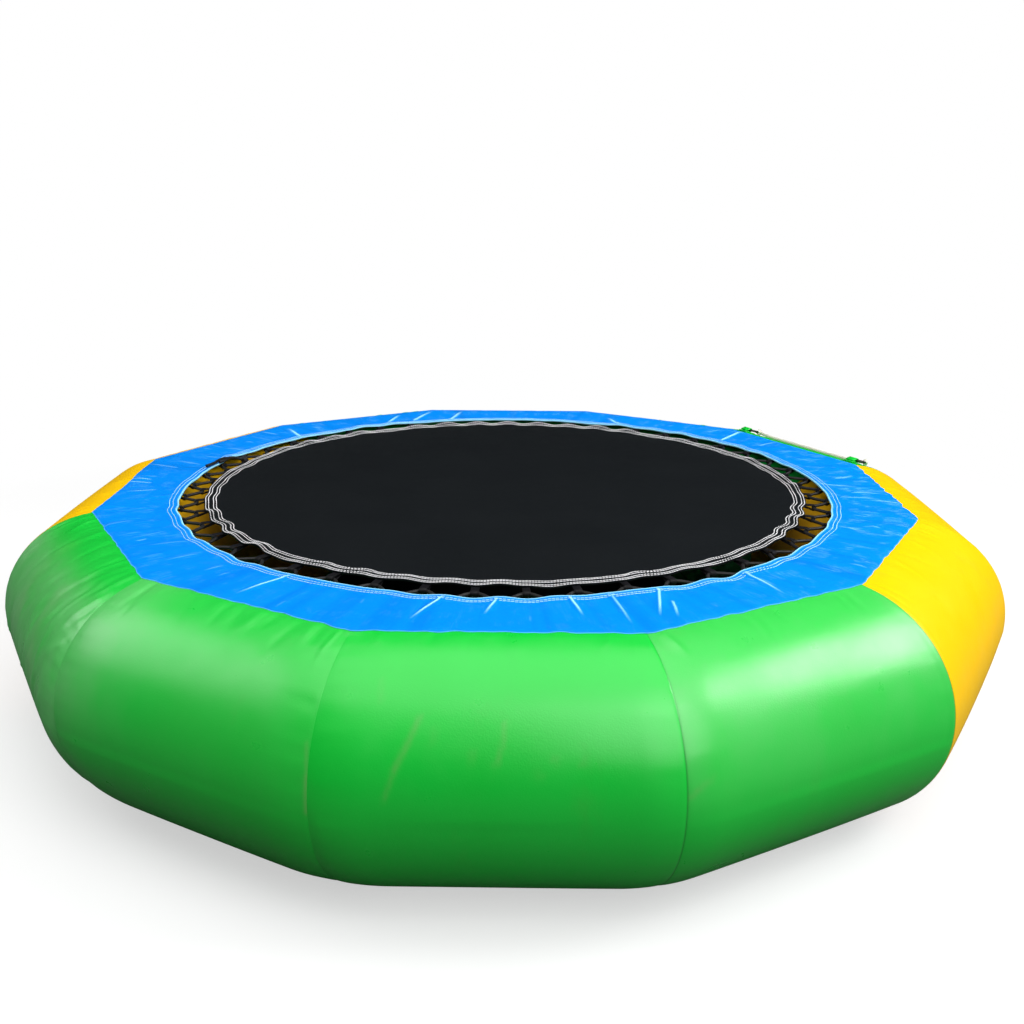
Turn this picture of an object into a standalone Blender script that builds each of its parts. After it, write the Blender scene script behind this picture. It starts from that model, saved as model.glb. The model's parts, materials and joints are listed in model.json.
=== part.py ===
"""A water trampoline: an inflated ring of twelve mitred panels, a cover sheet and a laced jumping mat.

Metres, +Z up. The origin is the centre of the ring on the ground. Turns are counted from the front,
-Y, towards +X. Everything round the ring is modelled at the front and then turned about Z.
"""

import math

import bmesh
import bpy
from mathutils import Matrix, Vector

# The ring
OVERALL_WIDTH = 1.98
TUBE_RADIUS = 0.209
RING_SIDES = 12
SECTION_SIDES = 32
PVC_WALL = 0.0009
FIT_GAP = 0.0003
CUT_OVERRUN = 0.02

# The cover, its edge band and the mat
COVER_LAP = 0.0242
COVER_OVERHANG = 0.112
COVER_THICKNESS = 0.001
COVER_BAND_WIDTH = 0.020
BAND_THICKNESS = 0.0012
LACING_GAP = 0.047
MAT_THICKNESS = 0.001
MAT_BAND_WIDTH = 0.027
SHEET_SIDES = 96
BAND_SIDES = 48

# The loops and the cord laced through them
LOOPS_PER_SIDE = 4
LOOP_WIDTH = 0.020
LOOP_WEBBING = 0.0012
LOOP_SEWN_DEPTH = 0.0006
COVER_LOOP_REACH = 0.0035
COVER_LOOP_LENGTH = 0.018
MAT_LOOP_REACH = 0.0145
MAT_LOOP_LENGTH = 0.030
CORD_RADIUS = 0.004
CORD_LEAD = 0.0035
KNOT_STUB = 0.003
KNOT_LOOP_NUMBER = 33
LACING_KNOTS = ("lacing_knot_inner", "lacing_knot_outer")

# The inflation valve
VALVE_TURN = 180.0
VALVE_RISE = 45.0
VALVE_FLANGE_RADIUS = 0.029
VALVE_FLANGE_THICKNESS = 0.0015
VALVE_NECK_RADIUS = 0.016
VALVE_NECK_WALL = 0.003
VALVE_NECK_ABOVE = 0.006
VALVE_NECK_BELOW = 0.010
INSERT_WALL = 0.0037
INSERT_HEAD_RADIUS = 0.0175
INSERT_HEAD_THICKNESS = 0.003
INSERT_DEPTH = 0.008
INSERT_SEAT_THICKNESS = 0.0015
SEAT_HOLE_RADIUS = 0.002
SEAT_HOLE_COUNT = 4
FLAP_THICKNESS = 0.001
FLAP_RIM = 0.001
FLAP_STEM_RADIUS = 0.0012
FLAP_BARB_RADIUS = 0.0022
FLAP_TRAVEL = 0.003
CAP_HEAD_RADIUS = 0.0135
CAP_HEAD_THICKNESS = 0.004
CAP_CHAMFER = 0.001
CAP_PLUG_LENGTH = 0.006
TETHER_RADIUS = 0.0008
TETHER_BULGE = 0.006
VALVE_STEPS = 20

# The mooring points inside the ring
ANCHOR_TURNS = {"front": 0.0, "right": 90.0, "back": 180.0, "left": 270.0}
ANCHOR_RISE = 180.0
ANCHOR_PATCH_LENGTH = 0.110
PATCH_THICKNESS = 0.001
PATCH_MARGIN = 0.0025
STRAP_WIDTH = 0.025
ANCHOR_STRAP_THICKNESS = 0.0015
ANCHOR_STRAP_LENGTH = 0.022
ANCHOR_BAR_DROP = 0.008
RING_WIRE_RADIUS = 0.0025
RING_WIDTH = 0.038
RING_STRAIGHT = 0.012
RING_CORNER_RADIUS = 0.004
RING_CORNER_STEPS = 2
RING_BOW_STEPS = 6

# The grab handle on one back panel: two tabs, two rings and the rope between them
GRAB_TURN = 120.0
GRAB_RISE = 78.75
GRAB_SPREAD = 0.370
GRAB_SIDES = {"left": 1, "right": -1}
GRAB_PATCH_LENGTH = 0.044
GRAB_PATCH_HEIGHT = 0.030
GRAB_PATCH_SHIFT = -0.003
GRAB_STRAP_THICKNESS = 0.0024
GRAB_STRAP_LENGTH = 0.018
GRAB_BAR_OUT = 0.006
ROPE_RADIUS = 0.004
ROPE_RISE = 67.5
ROPE_KNOT_RADIUS = 0.008
ROPE_POINTS = 12
ROPE_DROP_POWER = 8
KNOT_SEGMENTS = 10
KNOT_RINGS = 6

# Worked out from the sizes above
TUBE_CENTRE = OVERALL_WIDTH / 2 - TUBE_RADIUS
SEGMENT_TURN = math.tau / RING_SIDES
HALF_TURN = SEGMENT_TURN / 2
FACET_TURN = math.tau / SECTION_SIDES
FACET_WIDTH = 2 * TUBE_RADIUS * math.tan(FACET_TURN / 2)
CROWN = 2 * TUBE_RADIUS
SHEET_BOTTOM = CROWN + FIT_GAP
COVER_EDGE = TUBE_CENTRE + COVER_LAP
COVER_OPENING_RADIUS = TUBE_CENTRE - COVER_OVERHANG
MAT_RADIUS = COVER_OPENING_RADIUS - LACING_GAP
BAND_TOP = SHEET_BOTTOM - FIT_GAP
LOOP_TOP = BAND_TOP - BAND_THICKNESS + LOOP_SEWN_DEPTH
LOOP_BORE = CORD_RADIUS + FIT_GAP
CORD_HEIGHT = LOOP_TOP - LOOP_WEBBING - LOOP_BORE
COVER_APEX = COVER_OPENING_RADIUS - COVER_LOOP_REACH
MAT_APEX = MAT_RADIUS + MAT_LOOP_REACH
LOOP_COUNT = RING_SIDES * LOOPS_PER_SIDE
LOOP_TURN = math.tau / LOOP_COUNT
NECK_BORE = VALVE_NECK_RADIUS - VALVE_NECK_WALL
INSERT_RADIUS = NECK_BORE - FIT_GAP
INSERT_BORE = INSERT_RADIUS - INSERT_WALL
INSERT_HEAD_BOTTOM = VALVE_NECK_ABOVE + FIT_GAP
INSERT_TOP = INSERT_HEAD_BOTTOM + INSERT_HEAD_THICKNESS
SEAT_TOP = INSERT_SEAT_THICKNESS - INSERT_DEPTH
CAP_BOTTOM = INSERT_TOP + FIT_GAP
RING_BORE = RING_WIRE_RADIUS + FIT_GAP

GREEN = (0.02, 0.55, 0.12)
YELLOW = (1.0, 0.80, 0.0)
BLUE = (0.0, 0.28, 0.95)
BLACK = (0.012, 0.013, 0.015)
YELLOW_PANELS = (3, 4, 9, 10)


# The scene and its two collections


def clear_scene():
    for item in list(bpy.data.objects):
        bpy.data.objects.remove(item)


def new_collection(name):
    collection = bpy.data.collections.new(name)
    bpy.context.scene.collection.children.link(collection)
    return collection


clear_scene()
PARTS = new_collection("water_trampoline")
CUTTERS = new_collection("cutters")


def make_material(name, colour, roughness, metallic=0.0):
    material = bpy.data.materials.new(name)
    material.use_nodes = True
    shader = material.node_tree.nodes["Principled BSDF"]
    shader.inputs["Base Color"].default_value = (*colour, 1)
    shader.inputs["Roughness"].default_value = roughness
    shader.inputs["Metallic"].default_value = metallic
    return material


GREEN_PVC = make_material("green_pvc", GREEN, 0.35)
YELLOW_PVC = make_material("yellow_pvc", YELLOW, 0.35)
BLUE_PVC = make_material("blue_pvc", BLUE, 0.3)
MAT_WEAVE = make_material("black_mat_weave", BLACK, 0.7)
WEBBING = make_material("black_webbing", BLACK, 0.8)
SHOCK_CORD = make_material("black_shock_cord", BLACK, 0.6)
VALVE_PLASTIC = make_material("black_valve_plastic", BLACK, 0.45)
FLAP_RUBBER = make_material("grey_flap_rubber", (0.2, 0.2, 0.2), 0.7)
STEEL = make_material("stainless_steel", (0.7, 0.7, 0.72), 0.2, 1.0)
BLACK_PLASTIC = make_material("black_ring_plastic", BLACK, 0.4)
WHITE_ROPE = make_material("white_rope", (0.85, 0.83, 0.78), 0.8)


# Shapes that several pieces share


def place(name, data, material, matrix=Matrix.Identity(4), collection=PARTS):
    item = bpy.data.objects.new(name, data)
    item.matrix_world = matrix
    collection.objects.link(item)
    data.materials.append(material)
    return item


def curve_from(name, outlines, flat, closed):
    """POLY splines through the given points, as a 2D or a 3D curve."""
    data = bpy.data.curves.new(name, "CURVE")
    data.dimensions = "2D" if flat else "3D"
    for outline in outlines:
        spline = data.splines.new("POLY")
        spline.points.add(len(outline) - 1)
        for point, place_of in zip(spline.points, outline):
            point.co = (*place_of, 0, 1) if flat else (*place_of, 1)
        spline.use_cyclic_u = closed
    return data


def flat_outline(name, outlines, thickness):
    data = curve_from(name, outlines, True, True)
    data.fill_mode = "BOTH"
    data.extrude = thickness / 2
    return data


def round_bar(name, points, radius, closed=False):
    data = curve_from(name, [points], False, closed)
    data.bevel_depth = radius
    data.bevel_resolution = 2
    data.use_fill_caps = not closed
    return data


def mesh_of(item):
    """The evaluated mesh of a curve object, its caps welded. The curve is removed."""
    graph = bpy.context.evaluated_depsgraph_get()
    graph.update()
    mesh = bpy.data.meshes.new_from_object(item.evaluated_get(graph))
    shape = bmesh.new()
    shape.from_mesh(mesh)
    bmesh.ops.remove_doubles(shape, verts=shape.verts, dist=FIT_GAP / 10)
    shape.to_mesh(mesh)
    shape.free()
    mesh.materials.clear()
    bpy.data.objects.remove(item)
    return mesh


def repeated(name, mesh, matrices):
    """One mesh that holds a copy of the given one at each matrix."""
    shape = bmesh.new()
    for matrix in matrices:
        first = len(shape.verts)
        shape.from_mesh(mesh)
        shape.verts.ensure_lookup_table()
        bmesh.ops.transform(shape, matrix=matrix, verts=shape.verts[first:])
    group = bpy.data.meshes.new(name)
    shape.to_mesh(group)
    shape.free()
    return group


def combine(item, operand_mesh, operation, frame=Matrix.Identity(4)):
    """Join the operand's solids to the item, or cut them out of it."""
    operand = place(f"{item.name}_operand", operand_mesh, item.data.materials[0], frame, CUTTERS)
    operand.hide_render = True
    operand.display_type = "WIRE"
    change = item.modifiers.new(operation.lower(), "BOOLEAN")
    change.operation = operation
    change.solver = "EXACT"
    change.object = operand


def circle(radius, sides):
    steps = [math.tau * i / sides for i in range(sides)]
    return [(radius * math.cos(t), radius * math.sin(t)) for t in steps]


def turned(name, profile, material, matrix):
    """A closed profile of (radius, height) points, turned about the local Z axis."""
    mesh = bpy.data.meshes.new(name)
    points = [(radius, 0, height) for radius, height in profile]
    edges = [(i, (i + 1) % len(points)) for i in range(len(points))]
    if profile[0][0] == 0:
        edges.pop()
    mesh.from_pydata(points, edges, [])
    item = place(name, mesh, material, matrix)
    screw = item.modifiers.new("turn", "SCREW")
    screw.axis = "Z"
    screw.steps = VALVE_STEPS
    screw.render_steps = VALVE_STEPS
    screw.use_merge_vertices = True
    screw.merge_threshold = FIT_GAP / 10
    screw.use_smooth_shade = False
    return item


def turn_about_ring(turn):
    return Matrix.Rotation(turn, 4, "Z")


def tube_frame(turn_degrees, rise_degrees):
    """The place on the tube's wall at a turn round the ring and a rise round its section.

    The rise is 0 at the outside, 90 at the crown and 180 at the inside. Local X runs along the
    panel, local Y up the wall and on over the crown, and local Z straight out of the wall.
    """
    rise = math.radians(rise_degrees)
    out, up = math.cos(rise), math.sin(rise)
    spot = Vector((0, -TUBE_CENTRE - TUBE_RADIUS * out, TUBE_RADIUS + TUBE_RADIUS * up))
    frame = Matrix(((1, 0, 0), (0, up, -out), (0, out, up))).to_4x4()
    return turn_about_ring(math.radians(turn_degrees)) @ Matrix.Translation(spot) @ frame


def axes(first, second):
    """A turn that takes X to first and Y to second."""
    third = Vector(first).cross(Vector(second))
    return Matrix((Vector(first), Vector(second), third)).transposed().to_4x4()


# The ring's panels


def open_tube(shape, radius):
    """A tube along X through the section's centre, with a flat facet at its crown and its foot."""
    corner_radius = radius / math.cos(FACET_TURN / 2)
    length = 2 * (OVERALL_WIDTH / 2) * math.tan(HALF_TURN) + 2 * CUT_OVERRUN
    turn = Matrix.Rotation(math.pi / 2, 4, "Y") @ Matrix.Rotation(FACET_TURN / 2, 4, "Z")
    centre = Matrix.Translation((0, -TUBE_CENTRE, TUBE_RADIUS))
    made = bmesh.ops.create_cone(
        shape,
        cap_ends=False,
        segments=SECTION_SIDES,
        radius1=corner_radius,
        radius2=corner_radius,
        depth=length,
        matrix=centre @ turn,
    )
    return made["verts"]


def mitre(shape, side):
    """Cut both walls at the plane between two panels, and close the cut from wall to wall."""
    normal = Vector((side * math.cos(HALF_TURN), math.sin(HALF_TURN), 0))
    everything = shape.verts[:] + shape.edges[:] + shape.faces[:]
    cut = bmesh.ops.bisect_plane(
        shape,
        geom=everything,
        plane_co=-normal * FIT_GAP / 2,
        plane_no=normal,
        clear_outer=True,
    )
    rim = [item for item in cut["geom_cut"] if isinstance(item, bmesh.types.BMEdge)]
    bmesh.ops.bridge_loops(shape, edges=rim)


def panel_mesh():
    shape = bmesh.new()
    open_tube(shape, TUBE_RADIUS - PVC_WALL)
    bmesh.ops.reverse_faces(shape, faces=shape.faces)
    open_tube(shape, TUBE_RADIUS)
    mitre(shape, 1)
    mitre(shape, -1)
    bmesh.ops.recalc_face_normals(shape, faces=shape.faces)
    mesh = bpy.data.meshes.new("panel")
    shape.to_mesh(mesh)
    shape.free()
    return mesh


def make_ring():
    panels = []
    for number in range(RING_SIDES):
        colour = YELLOW_PVC if number + 1 in YELLOW_PANELS else GREEN_PVC
        turn = turn_about_ring(number * SEGMENT_TURN)
        panels.append(place(f"tube_segment_{number + 1:02d}", panel_mesh(), colour, turn))
    return panels


# The cover and the mat


def panel_corners(apothem):
    radius = apothem / math.cos(HALF_TURN)
    turns = [SEGMENT_TURN * i + HALF_TURN for i in range(RING_SIDES)]
    return [(radius * math.sin(t), -radius * math.cos(t)) for t in turns]


def make_cover():
    outline = [panel_corners(COVER_EDGE), circle(COVER_OPENING_RADIUS, SHEET_SIDES)]
    sheet = flat_outline("cover", outline, COVER_THICKNESS)
    height = SHEET_BOTTOM + COVER_THICKNESS / 2
    place("cover", sheet, BLUE_PVC, Matrix.Translation((0, 0, height)))


def make_band(name, inner, outer, material):
    """A flat ring of webbing that lies under a sheet's edge."""
    outline = [circle(outer, BAND_SIDES), circle(inner, BAND_SIDES)]
    curve = flat_outline(name, outline, BAND_THICKNESS)
    spot = Matrix.Translation((0, 0, BAND_TOP - BAND_THICKNESS / 2))
    return place(name, mesh_of(place(name, curve, material)), material, spot)


def make_mat():
    fabric = flat_outline("mat_fabric", [circle(MAT_RADIUS, SHEET_SIDES)], MAT_THICKNESS)
    height = SHEET_BOTTOM + MAT_THICKNESS / 2
    place("mat_fabric", fabric, MAT_WEAVE, Matrix.Translation((0, 0, height)))


# Webbing loops, sewn flat at the tail and open round a bar or a cord at the nose


def strap_loop(bore, webbing, length, width):
    """A folded strap. X points to the nose, and the flat leg lies at the highest Y.

    The bore is half a hexagon round the origin, and the far leg runs from it up to the tail.
    """
    hexagon = 1 / math.cos(math.pi / 6)
    turns = [math.radians(angle) for angle in (60, 0, -60, -120)]
    wide, narrow = (bore + webbing) * hexagon, bore * hexagon
    outer = [(wide * math.cos(t), wide * math.sin(t)) for t in turns]
    inner = [(narrow * math.cos(t), narrow * math.sin(t)) for t in turns]
    outer += [(-length, bore - webbing), (-length, bore + webbing)]
    inner.append((-length + 2 * (bore + webbing), bore))
    curve = flat_outline("strap", [outer, inner], width)
    return mesh_of(place("strap", curve, WEBBING))


def loop_matrices(radius, first_turn, outward):
    """One matrix for each loop: X along the radius, Y up."""
    nose = axes((0, -outward, 0), (0, 0, 1))
    spot = Matrix.Translation((0, -radius, CORD_HEIGHT))
    turns = [first_turn + LOOP_TURN * i for i in range(LOOP_COUNT)]
    return [turn_about_ring(turn) @ spot @ nose for turn in turns]


def sew_loops(band, radius, first_turn, outward, length):
    """The band and its loops are one sewn piece, so they are one solid."""
    loop = strap_loop(LOOP_BORE, LOOP_WEBBING, length, LOOP_WIDTH)
    loops = repeated(f"{band.name}_loops", loop, loop_matrices(radius, first_turn, outward))
    combine(band, loops, "UNION")


def make_loop_bands():
    outer = COVER_OPENING_RADIUS + COVER_BAND_WIDTH
    cover_band = make_band("cover_loop_band", COVER_OPENING_RADIUS, outer, WEBBING)
    sew_loops(cover_band, COVER_APEX, 0, -1, COVER_LOOP_LENGTH)
    mat_band = make_band("mat_loop_band", MAT_RADIUS - MAT_BAND_WIDTH, MAT_RADIUS, WEBBING)
    sew_loops(mat_band, MAT_APEX, LOOP_TURN / 2, 1, MAT_LOOP_LENGTH)


# The lacing cord


def apex(number, side):
    """The cord's point on one side of a loop. Even numbers are the cover's loops."""
    turn = LOOP_TURN / 2 * number
    radius = MAT_APEX if number % 2 else COVER_APEX
    reach = side * (LOOP_WIDTH / 2 + CORD_LEAD)
    return turn_about_ring(turn) @ Vector((reach, -radius, CORD_HEIGHT))


def make_lacing():
    """The cord runs through every loop once, and its two ends are tied together with two knots."""
    first = 2 * KNOT_LOOP_NUMBER + 1
    passes = [number for number in range(first, first + 2 * LOOP_COUNT)]
    points = [apex(number, side) for number in passes for side in (-1, 1)]
    start, finish = points[0], points[-1]
    across = (start - finish).normalized()
    points.insert(0, start - across * KNOT_STUB)
    points.append(finish + across * KNOT_STUB)
    place("lacing_cord", round_bar("lacing_cord", points, CORD_RADIUS), SHOCK_CORD)
    room = (start - finish).length - 2 * KNOT_STUB - (len(LACING_KNOTS) + 1) * FIT_GAP
    radius = room / (2 * len(LACING_KNOTS))
    upright = across.to_track_quat("Z", "Y").to_matrix().to_4x4()
    for number, name in enumerate(LACING_KNOTS):
        along = KNOT_STUB + FIT_GAP + radius + number * (2 * radius + FIT_GAP)
        spot = Matrix.Translation(finish + across * along)
        place(name, ball(radius), SHOCK_CORD, spot @ upright)


def ball(radius):
    shape = bmesh.new()
    bmesh.ops.create_uvsphere(shape, u_segments=KNOT_SEGMENTS, v_segments=KNOT_RINGS, radius=radius)
    mesh = bpy.data.meshes.new("ball")
    shape.to_mesh(mesh)
    shape.free()
    return mesh


# The inflation valve


def drill(item, radius, spots, frame, reach):
    """Drill a straight hole at each spot of the frame's XY plane."""
    shape = bmesh.new()
    for spot in spots:
        bmesh.ops.create_cone(
            shape,
            cap_ends=True,
            segments=VALVE_STEPS,
            radius1=radius,
            radius2=radius,
            depth=2 * reach,
            matrix=Matrix.Translation((*spot, 0)),
        )
    mesh = bpy.data.meshes.new(item.name + "_drill")
    shape.to_mesh(mesh)
    shape.free()
    combine(item, mesh, "DIFFERENCE", frame)


def make_valve(panel):
    frame = tube_frame(VALVE_TURN, VALVE_RISE)
    drill(panel, VALVE_NECK_RADIUS + FIT_GAP, [(0, 0)], frame, CUT_OVERRUN)
    flange_top = FIT_GAP + VALVE_FLANGE_THICKNESS
    base = [
        (VALVE_NECK_RADIUS, VALVE_NECK_ABOVE),
        (VALVE_NECK_RADIUS, flange_top),
        (VALVE_FLANGE_RADIUS, flange_top),
        (VALVE_FLANGE_RADIUS, FIT_GAP),
        (VALVE_NECK_RADIUS, FIT_GAP),
        (VALVE_NECK_RADIUS, -VALVE_NECK_BELOW),
        (NECK_BORE, -VALVE_NECK_BELOW),
        (NECK_BORE, VALVE_NECK_ABOVE),
    ]
    turned("valve_base", base, VALVE_PLASTIC, frame)
    insert = [
        (INSERT_HEAD_RADIUS, INSERT_TOP),
        (INSERT_HEAD_RADIUS, INSERT_HEAD_BOTTOM),
        (INSERT_RADIUS, INSERT_HEAD_BOTTOM),
        (INSERT_RADIUS, -INSERT_DEPTH),
        (FLAP_STEM_RADIUS + FIT_GAP, -INSERT_DEPTH),
        (FLAP_STEM_RADIUS + FIT_GAP, SEAT_TOP),
        (INSERT_BORE, SEAT_TOP),
        (INSERT_BORE, INSERT_TOP),
    ]
    body = turned("valve_insert", insert, VALVE_PLASTIC, frame)
    hole_circle = (FLAP_STEM_RADIUS + FIT_GAP + INSERT_BORE) / 2
    seat_frame = frame @ Matrix.Translation((0, 0, SEAT_TOP - INSERT_SEAT_THICKNESS / 2))
    spots = circle(hole_circle, SEAT_HOLE_COUNT)
    drill(body, SEAT_HOLE_RADIUS, spots, seat_frame, INSERT_SEAT_THICKNESS)
    make_flap(frame)
    make_cap(frame)


def make_flap(frame):
    disc_top = -INSERT_DEPTH - FIT_GAP
    barb_bottom = SEAT_TOP + FLAP_TRAVEL + FIT_GAP
    barb_top = barb_bottom + FLAP_THICKNESS
    profile = [
        (0, barb_top),
        (FLAP_BARB_RADIUS, barb_top),
        (FLAP_BARB_RADIUS, barb_bottom),
        (FLAP_STEM_RADIUS, barb_bottom),
        (FLAP_STEM_RADIUS, disc_top),
        (INSERT_RADIUS - FLAP_RIM, disc_top),
        (INSERT_RADIUS - FLAP_RIM, disc_top - FLAP_THICKNESS),
        (0, disc_top - FLAP_THICKNESS),
    ]
    turned("valve_flap", profile, FLAP_RUBBER, frame)


def make_cap(frame):
    top = CAP_BOTTOM + CAP_HEAD_THICKNESS
    plug_radius = INSERT_BORE - FIT_GAP
    profile = [
        (0, top),
        (CAP_HEAD_RADIUS - CAP_CHAMFER, top),
        (CAP_HEAD_RADIUS, top - CAP_CHAMFER),
        (CAP_HEAD_RADIUS, CAP_BOTTOM),
        (plug_radius, CAP_BOTTOM),
        (plug_radius, CAP_BOTTOM - CAP_PLUG_LENGTH),
        (0, CAP_BOTTOM - CAP_PLUG_LENGTH),
    ]
    turned("valve_cap", profile, VALVE_PLASTIC, frame)
    low = Vector((INSERT_HEAD_RADIUS + FIT_GAP, 0, INSERT_HEAD_BOTTOM + INSERT_HEAD_THICKNESS / 2))
    high = Vector((CAP_HEAD_RADIUS + FIT_GAP, 0, CAP_BOTTOM + CAP_HEAD_THICKNESS / 2))
    far = low.x + TETHER_BULGE
    bow_low = Vector((far, 0, low.z))
    bow_high = Vector((far, 0, high.z))
    bow = (bow_low + bow_high) / 2 + Vector((TETHER_BULGE / 2, 0, 0))
    points = [low, (low + bow_low) / 2, bow_low, bow, bow_high, high]
    place("valve_tether", round_bar("valve_tether", points, TETHER_RADIUS), VALVE_PLASTIC, frame)


# Rings on straps


def arc(centre, radius, first_degrees, last_degrees, steps):
    """Points in the local XY plane from one angle to another, both included."""
    step = (last_degrees - first_degrees) / steps
    turns = [math.radians(first_degrees + step * i) for i in range(steps + 1)]
    return [(centre[0] + radius * math.cos(t), centre[1] + radius * math.sin(t), 0) for t in turns]


def make_d_ring(name, material, matrix):
    """A closed bar in the local XY plane: its straight side on the Y axis, its bow at +X."""
    side = RING_WIDTH / 2 - RING_CORNER_RADIUS
    low, high = (RING_CORNER_RADIUS, -side), (RING_CORNER_RADIUS, side)
    points = arc(high, RING_CORNER_RADIUS, 180, 90, RING_CORNER_STEPS)
    points += arc((RING_STRAIGHT, 0), RING_WIDTH / 2, 90, -90, RING_BOW_STEPS)
    points += arc(low, RING_CORNER_RADIUS, -90, -180, RING_CORNER_STEPS)
    place(name, round_bar(name, points, RING_WIRE_RADIUS, closed=True), material, matrix)


def patch_mesh(length, height):
    shape = bmesh.new()
    size = Matrix.Diagonal((length, height, PATCH_THICKNESS, 1))
    lift = Matrix.Translation((0, 0, FIT_GAP + PATCH_THICKNESS / 2))
    bmesh.ops.create_cube(shape, size=1, matrix=lift @ size)
    mesh = bpy.data.meshes.new("patch")
    shape.to_mesh(mesh)
    shape.free()
    return mesh


def bar_height(strap_thickness):
    """How far a ring's bar lies out of the wall: over the patch and the strap's flat leg."""
    return FIT_GAP + PATCH_THICKNESS + FIT_GAP + strap_thickness + RING_BORE


def make_anchors():
    frames = {side: tube_frame(turn, ANCHOR_RISE) for side, turn in ANCHOR_TURNS.items()}
    patch = patch_mesh(ANCHOR_PATCH_LENGTH, FACET_WIDTH - 2 * PATCH_MARGIN)
    bar = Matrix.Translation((0, ANCHOR_BAR_DROP, bar_height(ANCHOR_STRAP_THICKNESS)))
    strap = strap_loop(RING_BORE, ANCHOR_STRAP_THICKNESS, ANCHOR_STRAP_LENGTH, STRAP_WIDTH)
    down = axes((0, 1, 0), (0, 0, -1))
    hang = axes((0, 1, 0), (1, 0, 0))
    for side, frame in frames.items():
        place(f"anchor_patch_{side}", patch.copy(), GREEN_PVC, frame)
        place(f"anchor_strap_{side}", strap.copy(), WEBBING, frame @ bar @ down)
        make_d_ring(f"anchor_ring_{side}", STEEL, frame @ bar @ hang)


def make_grab_handle():
    """Two tabs on one back panel. Each ring lies outwards, down to the knot that rests on the wall."""
    wall = tube_frame(GRAB_TURN, ROPE_RISE)
    patch = patch_mesh(GRAB_PATCH_LENGTH, GRAB_PATCH_HEIGHT)
    shift = Matrix.Translation((0, GRAB_PATCH_SHIFT, 0))
    strap = strap_loop(RING_BORE, GRAB_STRAP_THICKNESS, GRAB_STRAP_LENGTH, STRAP_WIDTH)
    knots = []
    for side, sign in GRAB_SIDES.items():
        spot = tube_frame(GRAB_TURN, GRAB_RISE) @ Matrix.Translation((sign * GRAB_SPREAD / 2, 0, 0))
        bar = spot @ Matrix.Translation((0, -GRAB_BAR_OUT, bar_height(GRAB_STRAP_THICKNESS)))
        place(f"grab_patch_{side}", patch.copy(), GREEN_PVC, spot @ shift)
        place(f"grab_strap_{side}", strap.copy(), GREEN_PVC, bar @ axes((0, -1, 0), (0, 0, -1)))
        ring, knot = lying_ring(wall.inverted() @ bar.translation)
        make_d_ring(f"grab_ring_{side}", BLACK_PLASTIC, wall @ ring)
        place(f"grab_rope_knot_{side}", ball(ROPE_KNOT_RADIUS), WHITE_ROPE, wall @ Matrix.Translation(knot))
        knots.append(knot)
    make_rope(wall, *knots)


def lying_ring(bar):
    """A ring's matrix and its knot's place, from its bar's place. The knot touches ring and wall."""
    reach = RING_STRAIGHT + RING_WIDTH / 2 + RING_WIRE_RADIUS + FIT_GAP + ROPE_KNOT_RADIUS
    fall = (bar.z - FIT_GAP - ROPE_KNOT_RADIUS) / reach
    outwards = Vector((0, -math.sqrt(1 - fall * fall), -fall))
    ring = Matrix.Translation(bar) @ axes(outwards, (1, 0, 0))
    return ring, bar + reach * outwards


def make_rope(wall, first_knot, last_knot):
    """The rope leaves each knot at its middle and comes down on the wall between them."""
    along = (last_knot - first_knot).normalized()
    start = first_knot + along * (ROPE_KNOT_RADIUS + FIT_GAP)
    finish = last_knot - along * (ROPE_KNOT_RADIUS + FIT_GAP)
    drop = Vector((0, 0, ROPE_KNOT_RADIUS - ROPE_RADIUS))
    points = []
    for number in range(ROPE_POINTS):
        share = number / (ROPE_POINTS - 1)
        lowered = 1 - (2 * share - 1) ** ROPE_DROP_POWER
        points.append(start.lerp(finish, share) - drop * lowered)
    place("grab_rope", round_bar("grab_rope", points, ROPE_RADIUS), WHITE_ROPE, wall)


panels = make_ring()
make_cover()
make_mat()
make_loop_bands()
make_lacing()
make_valve(panels[RING_SIDES // 2])
make_anchors()
make_grab_handle()
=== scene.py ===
# %% [markdown]
# The looks of a water trampoline
#
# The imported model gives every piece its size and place. This script dresses it: the inflated ring in
# coated fabric, the cover sheet with its creases, the woven mat, the lacing cord and the small fittings.
# Lengths are in metres, +Z is up and -Y is the front. Turns are counted from the front towards +X.

# %% Load the frame
import json
import math

import bpy
import numpy as np
from mathutils import Matrix, Quaternion, Vector

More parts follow.
